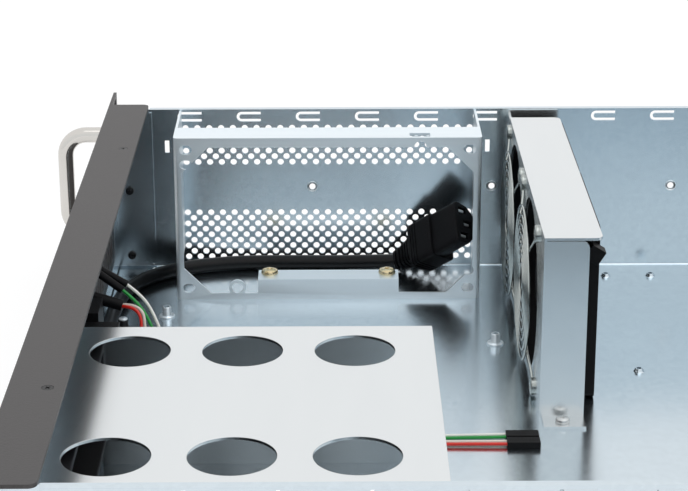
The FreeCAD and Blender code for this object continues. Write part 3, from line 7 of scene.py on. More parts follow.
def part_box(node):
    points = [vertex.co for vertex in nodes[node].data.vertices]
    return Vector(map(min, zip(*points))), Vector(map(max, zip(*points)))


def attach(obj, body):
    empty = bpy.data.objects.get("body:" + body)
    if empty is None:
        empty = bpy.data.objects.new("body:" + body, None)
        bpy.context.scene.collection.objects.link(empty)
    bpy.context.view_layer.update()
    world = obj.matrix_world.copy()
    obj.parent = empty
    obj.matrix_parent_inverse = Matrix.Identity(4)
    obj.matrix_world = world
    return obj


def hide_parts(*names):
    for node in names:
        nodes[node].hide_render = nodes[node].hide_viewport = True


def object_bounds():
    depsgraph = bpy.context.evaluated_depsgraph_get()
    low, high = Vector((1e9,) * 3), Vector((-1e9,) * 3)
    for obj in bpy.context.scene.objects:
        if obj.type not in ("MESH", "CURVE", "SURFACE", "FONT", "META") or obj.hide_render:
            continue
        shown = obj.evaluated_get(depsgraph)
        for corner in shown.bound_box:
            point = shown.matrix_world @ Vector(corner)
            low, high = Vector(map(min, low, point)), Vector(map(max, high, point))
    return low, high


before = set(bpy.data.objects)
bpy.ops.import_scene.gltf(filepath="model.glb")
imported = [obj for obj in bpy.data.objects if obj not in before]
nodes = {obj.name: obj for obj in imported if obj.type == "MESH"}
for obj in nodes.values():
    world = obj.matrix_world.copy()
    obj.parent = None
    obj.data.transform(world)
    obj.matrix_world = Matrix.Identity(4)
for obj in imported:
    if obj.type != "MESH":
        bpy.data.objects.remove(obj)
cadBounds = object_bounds()
print("frame loaded")

# The frame's corner: left wall's inner face, panel's face, top of the floor
sheetThick = 0.0012
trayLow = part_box("chassis_tray")[0]
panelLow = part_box("front_panel")[0]
frameLow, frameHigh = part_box("front_frame")  # it fills the case from wall to wall
corner = Vector((frameLow[0], panelLow[1], trayLow[2] + sheetThick))
innerWidth = (frameHigh[0] - frameLow[0]) * 1000

# Where the fans sit in their wall, in millimetres, for the fans, their guards and their screws
fanPlace = {"centres": {"left": 51.0, "right": 133.0}, "level": 40.3, "wallFront": 202.0, "screwSeat": 200.8,
            "screwReach": 35.75}


def at(across, deep, high):
    # Millimetres right of the left wall, behind the panel's face, above the floor
    return corner + Vector((across, deep, high)) * 0.001


def middle(node):
    low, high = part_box(node)
    return (Vector(low) + Vector(high)) / 2


def pieceName(node):
    first, *others = node.split("_")
    return first + "".join(word.title() for word in others)


def newObject(name, data):
    made = bpy.data.objects.new(name, data)
    bpy.context.scene.collection.objects.link(made)
    return made


# Camera

cameraFit = {"place": (0.8186, -0.1327, 0.3797), "lens": 110.9, "sensor": 36, "down": 19.6, "turn": 0.305,
             "roll": -0.11, "near": 0.05, "far": 30}
cameraData = bpy.data.cameras.new("studioCamera")
cameraData.lens = cameraFit["lens"]
cameraData.sensor_width = cameraFit["sensor"]
cameraData.clip_start = cameraFit["near"]
cameraData.clip_end = cameraFit["far"]
studioCamera = newObject("studioCamera", cameraData)
studioCamera.location = cameraFit["place"]
aim = Matrix.Rotation(math.radians(90 - cameraFit["turn"]), 3, "Z")
tilt = Matrix.Rotation(math.radians(90 - cameraFit["down"]), 3, "X")
spin = Matrix.Rotation(math.radians(cameraFit["roll"]), 3, "Z")
studioCamera.rotation_euler = (aim @ tilt @ spin).to_euler()
bpy.context.scene.camera = studioCamera


# Shader node groups

def addNode(tree, kind, inputs=None, **settings):
    made = tree.nodes.new(kind)
    for key, value in settings.items():
        setattr(made, key, value)
    for key, value in (inputs or {}).items():
        if isinstance(value, bpy.types.NodeSocket):
            tree.links.new(value, made.inputs[key])
        else:
            made.inputs[key].default_value = value
    return made


def result(tree, kind, *values, **settings):
    # A node with its inputs filled in order, and its first output
    return addNode(tree, kind, dict(enumerate(values)), **settings).outputs[0]


def maths(tree, operation, *values, **settings):
    return result(tree, "ShaderNodeMath", *values, operation=operation, **settings)


def newGroup(name, inputs, outputs, kind="ShaderNodeTree"):
    tree = bpy.data.node_groups.new(name, kind)
    for label, socket, value in inputs:
        item = tree.interface.new_socket(label, in_out="INPUT", socket_type="NodeSocket" + socket)
        if value is not None:
            item.default_value = value
    for label, socket in outputs:
        tree.interface.new_socket(label, in_out="OUTPUT", socket_type="NodeSocket" + socket)
    return tree, tree.nodes.new("NodeGroupInput").outputs, tree.nodes.new("NodeGroupOutput").inputs


def makeGrain():
    # Fine stretched grain: a shade from 0 to 1 and a height
    tree, given, out = newGroup("surfaceGrain", [
        ("Scale", "Float", 400.0), ("Stretch", "Vector", (1, 1, 1)), ("Detail", "Float", 3.0),
        ("Contrast", "Float", 1.0),
    ], [("Shade", "Float"), ("Height", "Float")])
    spot = addNode(tree, "ShaderNodeTexCoord").outputs["Object"]
    drawn = result(tree, "ShaderNodeVectorMath", spot, given["Stretch"], operation="MULTIPLY")
    noise = addNode(tree, "ShaderNodeTexNoise", {
        "Vector": drawn, "Scale": given["Scale"], "Detail": given["Detail"], "Roughness": 0.55}).outputs[0]
    centred = maths(tree, "SUBTRACT", noise, 0.5)
    strong = maths(tree, "MULTIPLY_ADD", centred, given["Contrast"], 0.5, use_clamp=True)
    tree.links.new(strong, out["Shade"])
    tree.links.new(noise, out["Height"])
    return tree


def makeSpangle():
    # Zinc coat: soft clouds over small crystals
    tree, given, out = newGroup("zincSpangle", [
        ("Crystal Scale", "Float", 260.0), ("Cloud Scale", "Float", 9.0), ("Crystal Share", "Float", 0.35),
    ], [("Shade", "Float"), ("Height", "Float")])
    spot = addNode(tree, "ShaderNodeTexCoord").outputs["Object"]
    cells = addNode(tree, "ShaderNodeTexVoronoi", {"Vector": spot, "Scale": given["Crystal Scale"]})
    crystal = result(tree, "ShaderNodeSeparateColor", cells.outputs["Color"])
    clouds = addNode(tree, "ShaderNodeTexNoise", {
        "Vector": spot, "Scale": given["Cloud Scale"], "Detail": 4.0, "Roughness": 0.6}).outputs[0]
    both = addNode(tree, "ShaderNodeMix", {0: given["Crystal Share"], 2: clouds, 3: crystal}, data_type="FLOAT")
    tree.links.new(both.outputs[0], out["Shade"])
    tree.links.new(clouds, out["Height"])
    return tree


surfaceGrain = makeGrain()
zincSpangle = makeSpangle()


def makeFinish(name, dark, light, rough, metallic=0.0, bump=0.0, distance=0.0001, grain=None, spangle=None,
               **sockets):
    # One material, under a grain or a spangle
    made = bpy.data.materials.new(name)
    made.use_nodes = True
    tree = made.node_tree
    tree.nodes.clear()
    out = addNode(tree, "ShaderNodeOutputMaterial")
    shader = addNode(tree, "ShaderNodeBsdfPrincipled", {"Metallic": metallic})
    for key, value in sockets.items():
        shader.inputs[key.replace("_", " ")].default_value = value
    tree.links.new(shader.outputs[0], out.inputs[0])
    effect = addNode(tree, "ShaderNodeGroup", node_tree=zincSpangle if spangle else surfaceGrain)
    for key, value in (spangle or grain).items():
        effect.inputs[key].default_value = value
    colour = addNode(tree, "ShaderNodeMix", {
        0: effect.outputs["Shade"], 6: (*dark, 1), 7: (*light, 1)}, data_type="RGBA")
    tree.links.new(colour.outputs[2], shader.inputs["Base Color"])
    spread = addNode(tree, "ShaderNodeMapRange", {
        "Value": effect.outputs["Shade"], "To Min": rough[0], "To Max": rough[1]})
    tree.links.new(spread.outputs[0], shader.inputs["Roughness"])
    if bump:
        relief = addNode(tree, "ShaderNodeBump", {
            "Strength": bump, "Distance": distance, "Height": effect.outputs["Height"]})
        tree.links.new(relief.outputs[0], shader.inputs["Normal"])
    return made


# Shade and roughness run from the first value to the second with the grain
wireCoat = dict(rough=(0.3, 0.4), grain={"Scale": 500.0})
lens = dict(rough=(0.1, 0.16), grain={"Scale": 80.0}, Coat_Weight=0.4)
finishFacts = {
    "galvanised": dict(
        dark=(0.60, 0.68, 0.735), light=(0.70, 0.785, 0.84), rough=(0.17, 0.23), metallic=1.0, bump=0.25,
        distance=0.0006, spangle={"Crystal Scale": 420.0, "Cloud Scale": 11.0, "Crystal Share": 0.3}),
    "zincPlate": dict(
        dark=(0.81, 0.89, 0.95), light=(0.90, 0.96, 0.99), rough=(0.38, 0.45), metallic=1.0,
        grain={"Scale": 120.0, "Stretch": (1, 0.1, 1)}),
    "brightZinc": dict(
        dark=(0.735, 0.765, 0.78), light=(0.785, 0.81, 0.82), rough=(0.22, 0.27), metallic=1.0,
        grain={"Scale": 90.0, "Stretch": (0.15, 1, 1), "Contrast": 0.8}),
    "darkPaint": dict(
        dark=(0.040, 0.037, 0.037), light=(0.072, 0.067, 0.067), rough=(0.42, 0.56), bump=0.35, distance=0.0003,
        grain={"Scale": 1400.0, "Contrast": 1.8}),
    "chrome": dict(
        dark=(0.62, 0.60, 0.57), light=(0.70, 0.68, 0.65), rough=(0.08, 0.14), metallic=1.0,
        grain={"Scale": 60.0}),
    "screwSteel": dict(
        dark=(0.66, 0.67, 0.67), light=(0.80, 0.81, 0.80), rough=(0.30, 0.40), metallic=1.0,
        grain={"Scale": 900.0, "Contrast": 1.6}),
    "blackScrew": dict(
        dark=(0.010, 0.010, 0.011), light=(0.024, 0.024, 0.026), rough=(0.25, 0.38), metallic=0.6,
        grain={"Scale": 900.0, "Contrast": 1.6}),
    "guardWire": dict(
        dark=(0.40, 0.43, 0.42), light=(0.52, 0.55, 0.53), rough=(0.16, 0.26), metallic=1.0, bump=0.1,
        grain={"Scale": 700.0, "Contrast": 1.4}),
    "yellowZinc": dict(
        dark=(0.66, 0.52, 0.28), light=(0.84, 0.74, 0.52), rough=(0.16, 0.3), metallic=1.0, bump=0.1,
        grain={"Scale": 260.0, "Contrast": 2.0}),
    "darkPlastic": dict(
        dark=(0.014, 0.014, 0.016), light=(0.026, 0.026, 0.028), rough=(0.4, 0.55), bump=0.2,
        grain={"Scale": 1600.0, "Contrast": 1.6}),
    "blackPlastic": dict(
        dark=(0.0035, 0.0035, 0.004), light=(0.008, 0.008, 0.009), rough=(0.38, 0.52), bump=0.15,
        grain={"Scale": 1300.0, "Contrast": 1.4}, Specular_IOR_Level=0.15),
    "blackRubber": dict(
        dark=(0.003, 0.003, 0.0037), light=(0.008, 0.008, 0.0093), rough=(0.36, 0.5), bump=0.2,
        grain={"Scale": 1100.0, "Contrast": 1.6}, Specular_IOR_Level=0.12),
    "cordSheath": dict(
        dark=(0.006, 0.006, 0.0066), light=(0.013, 0.013, 0.014), rough=(0.28, 0.38), bump=0.15,
        grain={"Scale": 700.0, "Contrast": 1.4}, Specular_IOR_Level=0.22),
    "whiteWire": dict(dark=(0.93, 0.91, 0.86), light=(0.98, 0.97, 0.93), **wireCoat),
    "greenWire": dict(dark=(0.004, 0.26, 0.035), light=(0.008, 0.38, 0.06), **wireCoat),
    "redWire": dict(dark=(0.72, 0.018, 0.010), light=(0.86, 0.035, 0.022), **wireCoat),
    "creamWire": dict(dark=(0.80, 0.73, 0.64), light=(0.90, 0.85, 0.77), **wireCoat),
    "greenLens": dict(dark=(0.10, 0.34, 0.14), light=(0.16, 0.46, 0.2), **lens),
    "redLens": dict(dark=(0.42, 0.05, 0.04), light=(0.55, 0.09, 0.07), **lens),
}
finishes = {name: makeFinish(name, **facts) for name, facts in finishFacts.items()}
print("materials made")


# Mesh helpers

def newPiece(name, data, finish, replaced=(), body="case"):
    made = newObject(name, data)
    data.materials.clear()
    data.materials.append(finishes[finish])
    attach(made, body)
    if replaced:
        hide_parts(*replaced)
    return made


def baked(holder):
    # The evaluated mesh of a holder, which is then thrown away
    graph = bpy.context.evaluated_depsgraph_get()
    mesh = bpy.data.meshes.new_from_object(holder.evaluated_get(graph))
    bpy.data.objects.remove(holder)
    return mesh


def smoothed(mesh, degrees=35):
    mesh.shade_smooth()
    mesh.set_sharp_from_angle(angle=math.radians(degrees))
    return mesh


def written(name, shape):
    mesh = bpy.data.meshes.new(name)
    shape.to_mesh(mesh)
    shape.free()
    return mesh


def mergedCopy(node):
    shape = bmesh.new()
    shape.from_mesh(nodes[node].data)
    bmesh.ops.remove_doubles(shape, verts=shape.verts, dist=2e-6)
    bmesh.ops.dissolve_limit(shape, angle_limit=math.radians(0.3), verts=shape.verts, edges=shape.edges)
    return written(node + "Copy", shape)


brokenEdge = {"angle": 50, "segments": 2, "crispAngle": 20}


def softened(node, width, finish, slot, crisp=False):
    # The solid's own shape with its edges broken by a small round. Crisp sheet keeps dead flat faces
    mesh = mergedCopy(node)
    mesh.shade_smooth()
    holder = newObject(node + "Holder", mesh)
    soft = holder.modifiers.new("broken edges", "BEVEL")
    soft.width = width
    soft.segments = brokenEdge["segments"]
    soft.limit_method = "ANGLE"
    soft.angle_limit = math.radians(brokenEdge["angle"])
    soft.use_clamp_overlap = True
    if not crisp:
        even = holder.modifiers.new("even normals", "WEIGHTED_NORMAL")
        even.weight = 100
        even.keep_sharp = True
    mesh = baked(holder)
    if crisp:
        mesh.set_sharp_from_angle(angle=math.radians(brokenEdge["crispAngle"]))
    return newPiece(pieceName(node), mesh, finish, [node])


def meshFrom(name, verts, faces):
    # Doubles merged and every face turned outwards
    loose = bpy.data.meshes.new(name)
    loose.from_pydata([tuple(v) for v in verts], [], faces)
    shape = bmesh.new()
    shape.from_mesh(loose)
    bpy.data.meshes.remove(loose)
    bmesh.ops.remove_doubles(shape, verts=shape.verts, dist=1e-7)
    bmesh.ops.recalc_face_normals(shape, faces=shape.faces)
    return written(name, shape)


def inMetres(profile):
    return [(radius / 1000, height / 1000) for radius, height in profile]


def turned(name, profile, steps=32):
    # A profile of (radius, height) pairs turned about Z. Radius 0 closes a pole.
    verts = []
    rings = []
    for radius, height in profile:
        if radius == 0:
            rings.append([len(verts)])
            verts.append((0, 0, height))
        else:
            rings.append(list(range(len(verts), len(verts) + steps)))
            for step in range(steps):
                angle = 2 * math.pi * step / steps
                verts.append((radius * math.cos(angle), radius * math.sin(angle), height))
    faces = []
    for lower, upper in zip(rings, rings[1:]):
        for step in range(steps):
            after = (step + 1) % steps
            if len(lower) == 1:
                faces.append((lower[0], upper[after], upper[step]))
            elif len(upper) == 1:
                faces.append((lower[step], lower[after], upper[0]))
            else:
                faces.append((lower[step], lower[after], upper[after], upper[step]))
    return meshFrom(name, verts, faces)


def lofted(name, rings):
    # Closed skin over rings of equal count, with a flat face at both ends
    count = len(rings[0])
    verts = [spot for ring in rings for spot in ring]
    faces = []
    for level in range(len(rings) - 1):
        low, high = level * count, (level + 1) * count
        for step in range(count):
            after = (step + 1) % count
            faces.append((low + step, low + after, high + after, high + step))
    faces.append(tuple(reversed(range(count))))
    faces.append(tuple(range((len(rings) - 1) * count, len(rings) * count)))
    return meshFrom(name, verts, faces)


def joined(name, meshes):
    shape = bmesh.new()
    for mesh in meshes:
        shape.from_mesh(mesh)
        bpy.data.meshes.remove(mesh)
    return written(name, shape)


def moved(mesh, matrix):
    mesh.transform(matrix)
    return mesh


def cutAway(name, mesh, tools):
    # Takes closed tool meshes out of a closed mesh
    holder = newObject(name, mesh)
    spent = []
    for tool in tools:
        cutter = newObject(name + "Tool", tool)
        step = holder.modifiers.new("cut", "BOOLEAN")
        step.operation = "DIFFERENCE"
        step.solver = "EXACT"
        step.object = cutter
        spent.append(cutter)
    mesh = baked(holder)
    for cutter in spent:
        bpy.data.objects.remove(cutter)
    return mesh


def boxMesh(low, high):
    xs, ys, zs = zip(low, high)
    verts = [(x, y, z) for x in xs for y in ys for z in zs]
    sides = [(0, 1, 3, 2), (4, 6, 7, 5), (0, 4, 5, 1), (2, 3, 7, 6), (0, 2, 6, 4), (1, 5, 7, 3)]
    return meshFrom("box", verts, sides)


def bentLine(name, spots, diameter=0.0, roundness=4, steps=12, kind="NURBS"):
    # A curve along the spots, round in section where it has a diameter
    line = bpy.data.curves.new(name, "CURVE")
    line.dimensions = "3D"
    line.bevel_depth = diameter / 2
    line.bevel_resolution = roundness
    line.resolution_u = steps
    line.use_fill_caps = True
    spline = line.splines.new(kind)
    spline.points.add(len(spots) - 1)
    for point, spot in zip(spline.points, spots):
        point.co = (*spot, 1)
    if kind == "NURBS":
        spline.order_u = 3
        spline.use_endpoint_u = True
    return line


# Geometry Nodes

def newGeometryTree(name, inputs):
    inputs = [("Geometry", "Geometry", None), *inputs, ("Material", "Material", None)]
    return newGroup(name, inputs, [("Geometry", "Geometry")], "GeometryNodeTree")


def closeTree(tree, given, out, geometry):
    real = result(tree, "GeometryNodeRealizeInstances", geometry)
    paint = addNode(tree, "GeometryNodeSetMaterial", {0: real, "Material": given["Material"]})
    tree.links.new(paint.outputs[0], out[0])
    return tree


def grown(name, data, tree, finish, **values):
    # Runs a tree on a holder and gives back the plain mesh
    holder = newObject(name + "Holder", data)
    step = holder.modifiers.new(tree.name, "NODES")
    step.node_group = tree
    values["Material"] = finishes[finish]
    for item in tree.interface.items_tree:
        key = item.name.replace(" ", "")
        if item.in_out == "INPUT" and key in values:
            step[item.identifier] = values[key]
    bpy.context.view_layer.update()
    return baked(holder)


def makePunchTree():
    # Rows of staggered round holes cut through a sheet that faces X. Every second
    # hole of every second row is in the sheet already, so it is skipped.
    tree, given, out = newGeometryTree("punchedField", [
        ("Columns", "Int", 25), ("Rows", "Int", 9), ("Pitch", "Float", 0.006), ("Row Pitch", "Float", 0.003),
        ("Hole Diameter", "Float", 0.0032), ("Depth", "Float", 0.005), ("Start", "Vector", (0, 0, 0))])
    columns = given["Columns"]
    total = maths(tree, "MULTIPLY", columns, given["Rows"])
    field = addNode(tree, "GeometryNodeMeshLine", {"Count": total})
    index = addNode(tree, "GeometryNodeInputIndex").outputs[0]
    row = maths(tree, "FLOOR", maths(tree, "DIVIDE", index, columns))
    column = maths(tree, "SUBTRACT", index, maths(tree, "MULTIPLY", row, columns))
    odd = maths(tree, "MODULO", row, 2.0)
    alongY = maths(tree, "MULTIPLY", maths(tree, "MULTIPLY_ADD", odd, 0.5, column), given["Pitch"])
    alongZ = maths(tree, "MULTIPLY", row, given["Row Pitch"])
    spot = addNode(tree, "ShaderNodeCombineXYZ", {1: alongY, 2: alongZ}).outputs[0]
    place = result(tree, "ShaderNodeVectorMath", spot, given["Start"], operation="ADD")
    placed = addNode(tree, "GeometryNodeSetPosition", {0: field.outputs[0], "Position": place})
    # Which hole of an even row is there turns with each even row
    evenRow = result(tree, "FunctionNodeCompare", odd, 0.5, operation="LESS_THAN")
    turn = maths(tree, "MODULO", maths(tree, "MULTIPLY_ADD", row, 0.5, column), 2.0)
    there = result(tree, "FunctionNodeCompare", turn, 0.25, operation="LESS_THAN")
    skip = result(tree, "FunctionNodeBooleanMath", evenRow, there, operation="AND")
    # An odd row stands half a pitch in, so it is one hole shorter
    last = maths(tree, "SUBTRACT", columns, 1.5)
    beyond = result(tree, "FunctionNodeCompare", column, last, operation="GREATER_THAN")
    oddRow = result(tree, "FunctionNodeBooleanMath", evenRow, operation="NOT")
    past = result(tree, "FunctionNodeBooleanMath", oddRow, beyond, operation="AND")
    drop = result(tree, "FunctionNodeBooleanMath", skip, past, operation="OR")
    kept = result(tree, "GeometryNodeDeleteGeometry", placed.outputs[0], drop)
    punch = addNode(tree, "GeometryNodeMeshCylinder", {
        "Vertices": 20, "Radius": maths(tree, "MULTIPLY", given["Hole Diameter"], 0.5),
        "Depth": given["Depth"]})
    punches = addNode(tree, "GeometryNodeInstanceOnPoints", {
        "Points": kept, "Instance": punch.outputs[0], "Rotation": (0, math.pi / 2, 0)})
    solid = result(tree, "GeometryNodeRealizeInstances", punches.outputs[0])
    pierced = result(tree, "GeometryNodeMeshBoolean", given[0], solid, operation="DIFFERENCE", solver="EXACT")
    return closeTree(tree, given, out, pierced)


def makeScatterTree():
    # Sets a model on each point, its Z turned to the point's facing
    tree, given, out = newGeometryTree("modelOnPoints", [
        ("Model", "Object", None), ("Size", "Float", 1.0), ("Twist", "Float", 0.7)])
    model = addNode(tree, "GeometryNodeObjectInfo", {0: given["Model"]})
    way = addNode(tree, "GeometryNodeInputNamedAttribute", {"Name": "facing"}, data_type="FLOAT_VECTOR")
    index = addNode(tree, "GeometryNodeInputIndex").outputs[0]
    own = addNode(tree, "ShaderNodeCombineXYZ", {2: maths(tree, "MULTIPLY", index, given["Twist"])})
    lean = addNode(tree, "FunctionNodeAlignRotationToVector", {"Vector": way.outputs[0]}, axis="Z")
    both = result(tree, "FunctionNodeRotateRotation", lean.outputs[0], own.outputs[0], rotation_space="LOCAL")
    placed = addNode(tree, "GeometryNodeInstanceOnPoints", {
        "Points": given[0], "Instance": model.outputs["Geometry"], "Rotation": both,
        "Scale": given["Size"]})
    return closeTree(tree, given, out, placed.outputs[0])


def makeGuardTree():
    # Rings of wire at a steady step, in the plane of Y
    tree, given, out = newGeometryTree("wireRings", [
        ("Rings", "Int", 5), ("First Radius", "Float", 0.01), ("Ring Step", "Float", 0.006),
        ("Wire", "Float", 0.0016)])
    line = addNode(tree, "GeometryNodeMeshLine", {"Count": given["Rings"], "Offset": (0, 0, 0)})
    ring = addNode(tree, "GeometryNodeCurvePrimitiveCircle", {"Resolution": 56, "Radius": 1.0})
    index = addNode(tree, "GeometryNodeInputIndex").outputs[0]
    size = maths(tree, "MULTIPLY_ADD", index, given["Ring Step"], given["First Radius"])
    rings = addNode(tree, "GeometryNodeInstanceOnPoints", {
        "Points": line.outputs[0], "Instance": ring.outputs[0], "Rotation": (math.pi / 2, 0, 0), "Scale": size})
    real = result(tree, "GeometryNodeRealizeInstances", rings.outputs[0])
    section = addNode(tree, "GeometryNodeCurvePrimitiveCircle", {
        "Resolution": 10, "Radius": maths(tree, "MULTIPLY", given["Wire"], 0.5)})
    wires = result(tree, "GeometryNodeCurveToMesh", real, section.outputs[0])
    both = addNode(tree, "GeometryNodeJoinGeometry", {0: result(tree, "GeometryNodeSetShadeSmooth", wires)})
    tree.links.new(given[0], both.inputs[0])
    return closeTree(tree, given, out, both.outputs[0])


punchedField = makePunchTree()
modelOnPoints = makeScatterTree()
wireRings = makeGuardTree()
print("node trees made")


# Cords

mainsCord = {
    "diameter": 0.007, "length": 0.9715, "finish": "cordSheath", "slot": "black_rubber",
    "route": [
        (396, 469.6, 24), (397.2, 443, 22.6), (408, 414, 12.5), (419.5, 384, 5.4), (422.8, 345, 3.9),
        (422.4, 290, 3.8), (423, 235, 3.7), (422.3, 180, 3.8), (422.9, 125, 3.7), (422, 76, 3.8),
        (416.5, 40, 3.7), (398, 14.5, 3.8), (369, 8, 3.7), (329, 7.4, 3.8), (275, 6.8, 3.7),
        (220, 7.3, 3.8), (165, 6.8, 3.7), (112, 6.5, 3.8), (69, 6.4, 3.7), (36, 11.5, 3.8),
        (13.5, 33, 3.7), (4.8, 62, 3.8), (4.3, 93, 3.7), (5.6, 122, 3.9), (9, 144.8, 5.7),
    ],
}
thinDiameter = 0.0014
thinWires = {
    "wire_white": {"finish": "whiteWire", "slot": "white_wire", "length": 0.1977, "route": [
        (172, 23.8, 54.5), (173.2, 30.5, 49.6), (175.6, 35.4, 42), (180, 39.6, 32), (188, 45.5, 18),
        (198, 56, 6), (207.5, 76, 1.2), (212.4, 105, 1), (214, 135, 1.2), (213.2, 161, 1),
        (213, 186, 1.4)]},
    "wire_green": {"finish": "greenWire", "slot": "green_wire", "length": 0.1984, "route": [
        (175.5, 22.1, 53.3), (177, 28.6, 48.4), (180.2, 34, 40.4), (185.4, 38.6, 29.6), (193, 45, 15),
        (203, 57, 4), (211.6, 77, 1.2), (215.8, 105, 1.3), (216.7, 135, 1), (215.8, 161, 1.2),
        (215.6, 186, 1.4)]},
    "wire_red": {"finish": "redWire", "slot": "red_wire", "length": 0.1999, "route": [
        (180.8, 22.2, 47.8), (184.6, 30.4, 49), (188.2, 31, 37), (194, 32.6, 23.5), (202.5, 39.4, 10),
        (211, 54.6, 2.6), (218.3, 80, 1.2), (221.8, 106, 1.3), (222.5, 134, 1.1), (222.1, 160, 1.3),
        (222.6, 186, 1.4)]},
    "wire_cream": {"finish": "creamWire", "slot": "cream_wire", "length": 0.1985, "route": [
        (178.2, 22.2, 47.6), (181.4, 31.2, 48.8), (184.6, 32.2, 37.4), (190, 34.2, 24), (198, 41.4, 10.5),
        (206.5, 56.1, 2.6), (214.8, 80, 1.3), (218.7, 106, 1.1), (219.9, 134, 1.3), (219.6, 160, 1.1),
        (220, 186, 1.4)]},
}


def routeLine(name, route, diameter=0.0):
    return bentLine(name, [at(*spot) for spot in route], diameter, steps=10)


def layCord(node, name, facts, diameter):
    line = routeLine(name, facts["route"], diameter)
    return newPiece(name, line, facts["finish"], [node])


cordPiece = layCord("mains_cord", "mainsCord", mainsCord, mainsCord["diameter"])
wirePieces = {node: layCord(node, node.replace("_", ""), facts, thinDiameter) for node, facts in thinWires.items()}
print("cords laid")


# Sheet metal

# The holes are sized in metres and placed in millimetres; each field has its rows and its lowest level
perforation = {"pitch": 0.006, "rowPitch": 0.003, "diameter": 0.0032, "columns": 25, "start": 38.6,
               "wallMiddle": -0.6, "fields": [(9, 5.24), (7, 56.3)]}
sheetPieces = {
    "front_frame": {"width": 0.0003, "finish": "galvanised", "slot": "zinc"},
    "drive_cage": {"width": 0.0003, "finish": "brightZinc", "slot": "bright_zinc"},
    "psu_bracket": {"width": 0.00035, "finish": "zincPlate", "slot": "zinc", "crisp": True},
    "psu_support": {"width": 0.00035, "finish": "zincPlate", "slot": "zinc", "crisp": True},
    "fan_wall": {"width": 0.0003, "finish": "brightZinc", "slot": "bright_zinc"},
    "rear_panel": {"width": 0.0003, "finish": "galvanised", "slot": "galvanised"},
    "slot_covers": {"width": 0.00015, "finish": "zincPlate", "slot": "zinc"},
    "front_panel": {"width": 0.0003, "finish": "darkPaint", "slot": "dark_paint"},
    "bay_cover": {"width": 0.0004, "finish": "darkPlastic", "slot": "dark_plastic"},
}


def buildTray():
    # Floor and walls, with the vent fields' remaining holes punched through the left wall
    mesh = mergedCopy("chassis_tray")
    for rows, level in perforation["fields"]:
        start = at(perforation["wallMiddle"], perforation["start"], level)
        mesh = grown("tray", mesh, punchedField, "galvanised", Columns=perforation["columns"], Rows=rows,
                     Pitch=perforation["pitch"], RowPitch=perforation["rowPitch"],
                     HoleDiameter=perforation["diameter"], Start=start)
    newPiece("chassisTray", smoothed(mesh), "galvanised", ["chassis_tray"])


buildTray()
for node, facts in sheetPieces.items():
    softened(node, **facts)
print("sheet metal built")


# Plastic housings

housingEdges = {"power_switch": 0.0004, "reset_switch": 0.0003, "usb_ports": 0.0002, "inlet_body": 0.0004,
                "fan_frame_left": 0.0004, "fan_frame_right": 0.0004, "fan_plug": 0.0003, "header_plugs": 0.0003}
housings = {node: softened(node, width, "blackPlastic", "black_plastic") for node, width in housingEdges.items()}
softened("led_sleeves", 0.0002, "blackRubber", "black_rubber")
softened("inlet_pins", 0.0003, "screwSteel", "screw_steel")

fanPlugTilt = 13  # degrees about its middle
plugMiddle = Matrix.Translation(middle("fan_plug"))
tiltedPlug = plugMiddle @ Matrix.Rotation(math.radians(fanPlugTilt), 4, "X") @ plugMiddle.inverted()
housings["fan_plug"].data.transform(tiltedPlug)


# Handles

# Millimetres
handleShape = {"pitch": 448.0, "level": 42.2, "span": 51.5, "reach": 24.0, "bar": 8.0, "bend": 11.0, "bendSteps": 10}


def buildHandle(node):
    # A round bar: two legs, two bends and the grip between them
    place = middle(node)
    half, reach, bend = handleShape["span"] / 2000, handleShape["reach"] / 1000, handleShape["bend"] / 1000
    steps = handleShape["bendSteps"]
    spots = [(0, -half)]
    for side in (-1, 1):
        for step in range(steps + 1):
            turn = math.pi / 2 * step / steps
            inward, outward = math.cos(turn), math.sin(turn)
            if side < 0:
                inward, outward = outward, inward
            spots.append((bend - reach - bend * inward, side * (half - bend + bend * outward)))
    spots.append((0, half))
    spots = [(place.x, corner.y + deep, place.z + high) for deep, high in spots]
    line = bentLine(pieceName(node), spots, handleShape["bar"] / 1000, 6, kind="POLY")
    mesh = smoothed(baked(newObject(pieceName(node), line)), 50)
    newPiece(pieceName(node), mesh, "chrome", [node])


buildHandle("handle_left")
buildHandle("handle_right")
print("handles built")


# Screws and small turned details

up, right, left, forward, back = (0, 0, 1), (1, 0, 0), (-1, 0, 0), (0, -1, 0), (0, 1, 0)
recessTwist = 0.7  # radians from one screw to the next


def crossHead(head, height, dome, shank, length, sunk=False, recess=0.36):
    # A turned screw with a cross recess; its seat is at zero and it points along +Z
    radius = head / 2
    profile = [(0, -length), (shank / 2, -length)]
    if sunk:
        profile += [(shank / 2, -height), (radius * 0.96, -0.0002), (radius, -0.0001), (radius * 0.97, 0), (0, 0)]
        top, deep = 0, height * 0.8
    else:
        profile += [(shank / 2, 0), (radius * 0.97, 0), (radius, 0.0002), (radius, height * (1 - dome)),
                    (radius * 0.9, height * (1 - dome * 0.45)), (radius * 0.62, height * (1 - dome * 0.12)),
                    (0, height)]
        top, deep = height, height * 0.55
    wide, thin = head * recess / 2, head * 0.065
    tools = []
    for turn in (0, math.pi / 2):
        wedge = lofted("wedge", [
            [(x * wide * share, y * thin * share, level) for x, y in ((-1, -1), (1, -1), (1, 1), (-1, 1))]
            for share, level in ((0.55, top - deep), (1.15, top + height * 0.3))])
        tools.append(moved(wedge, Matrix.Rotation(turn, 4, "Z")))
    return smoothed(cutAway("screw", turned("screw", profile, 24), tools), 38)


def facing(way, spots):
    return [(at(*spot), way) for spot in spots]


def onBothWalls(inset, spots):
    return (facing(right, [(inset, deep, high) for deep, high in spots])
            + facing(left, [(innerWidth - inset, deep, high) for deep, high in spots]))


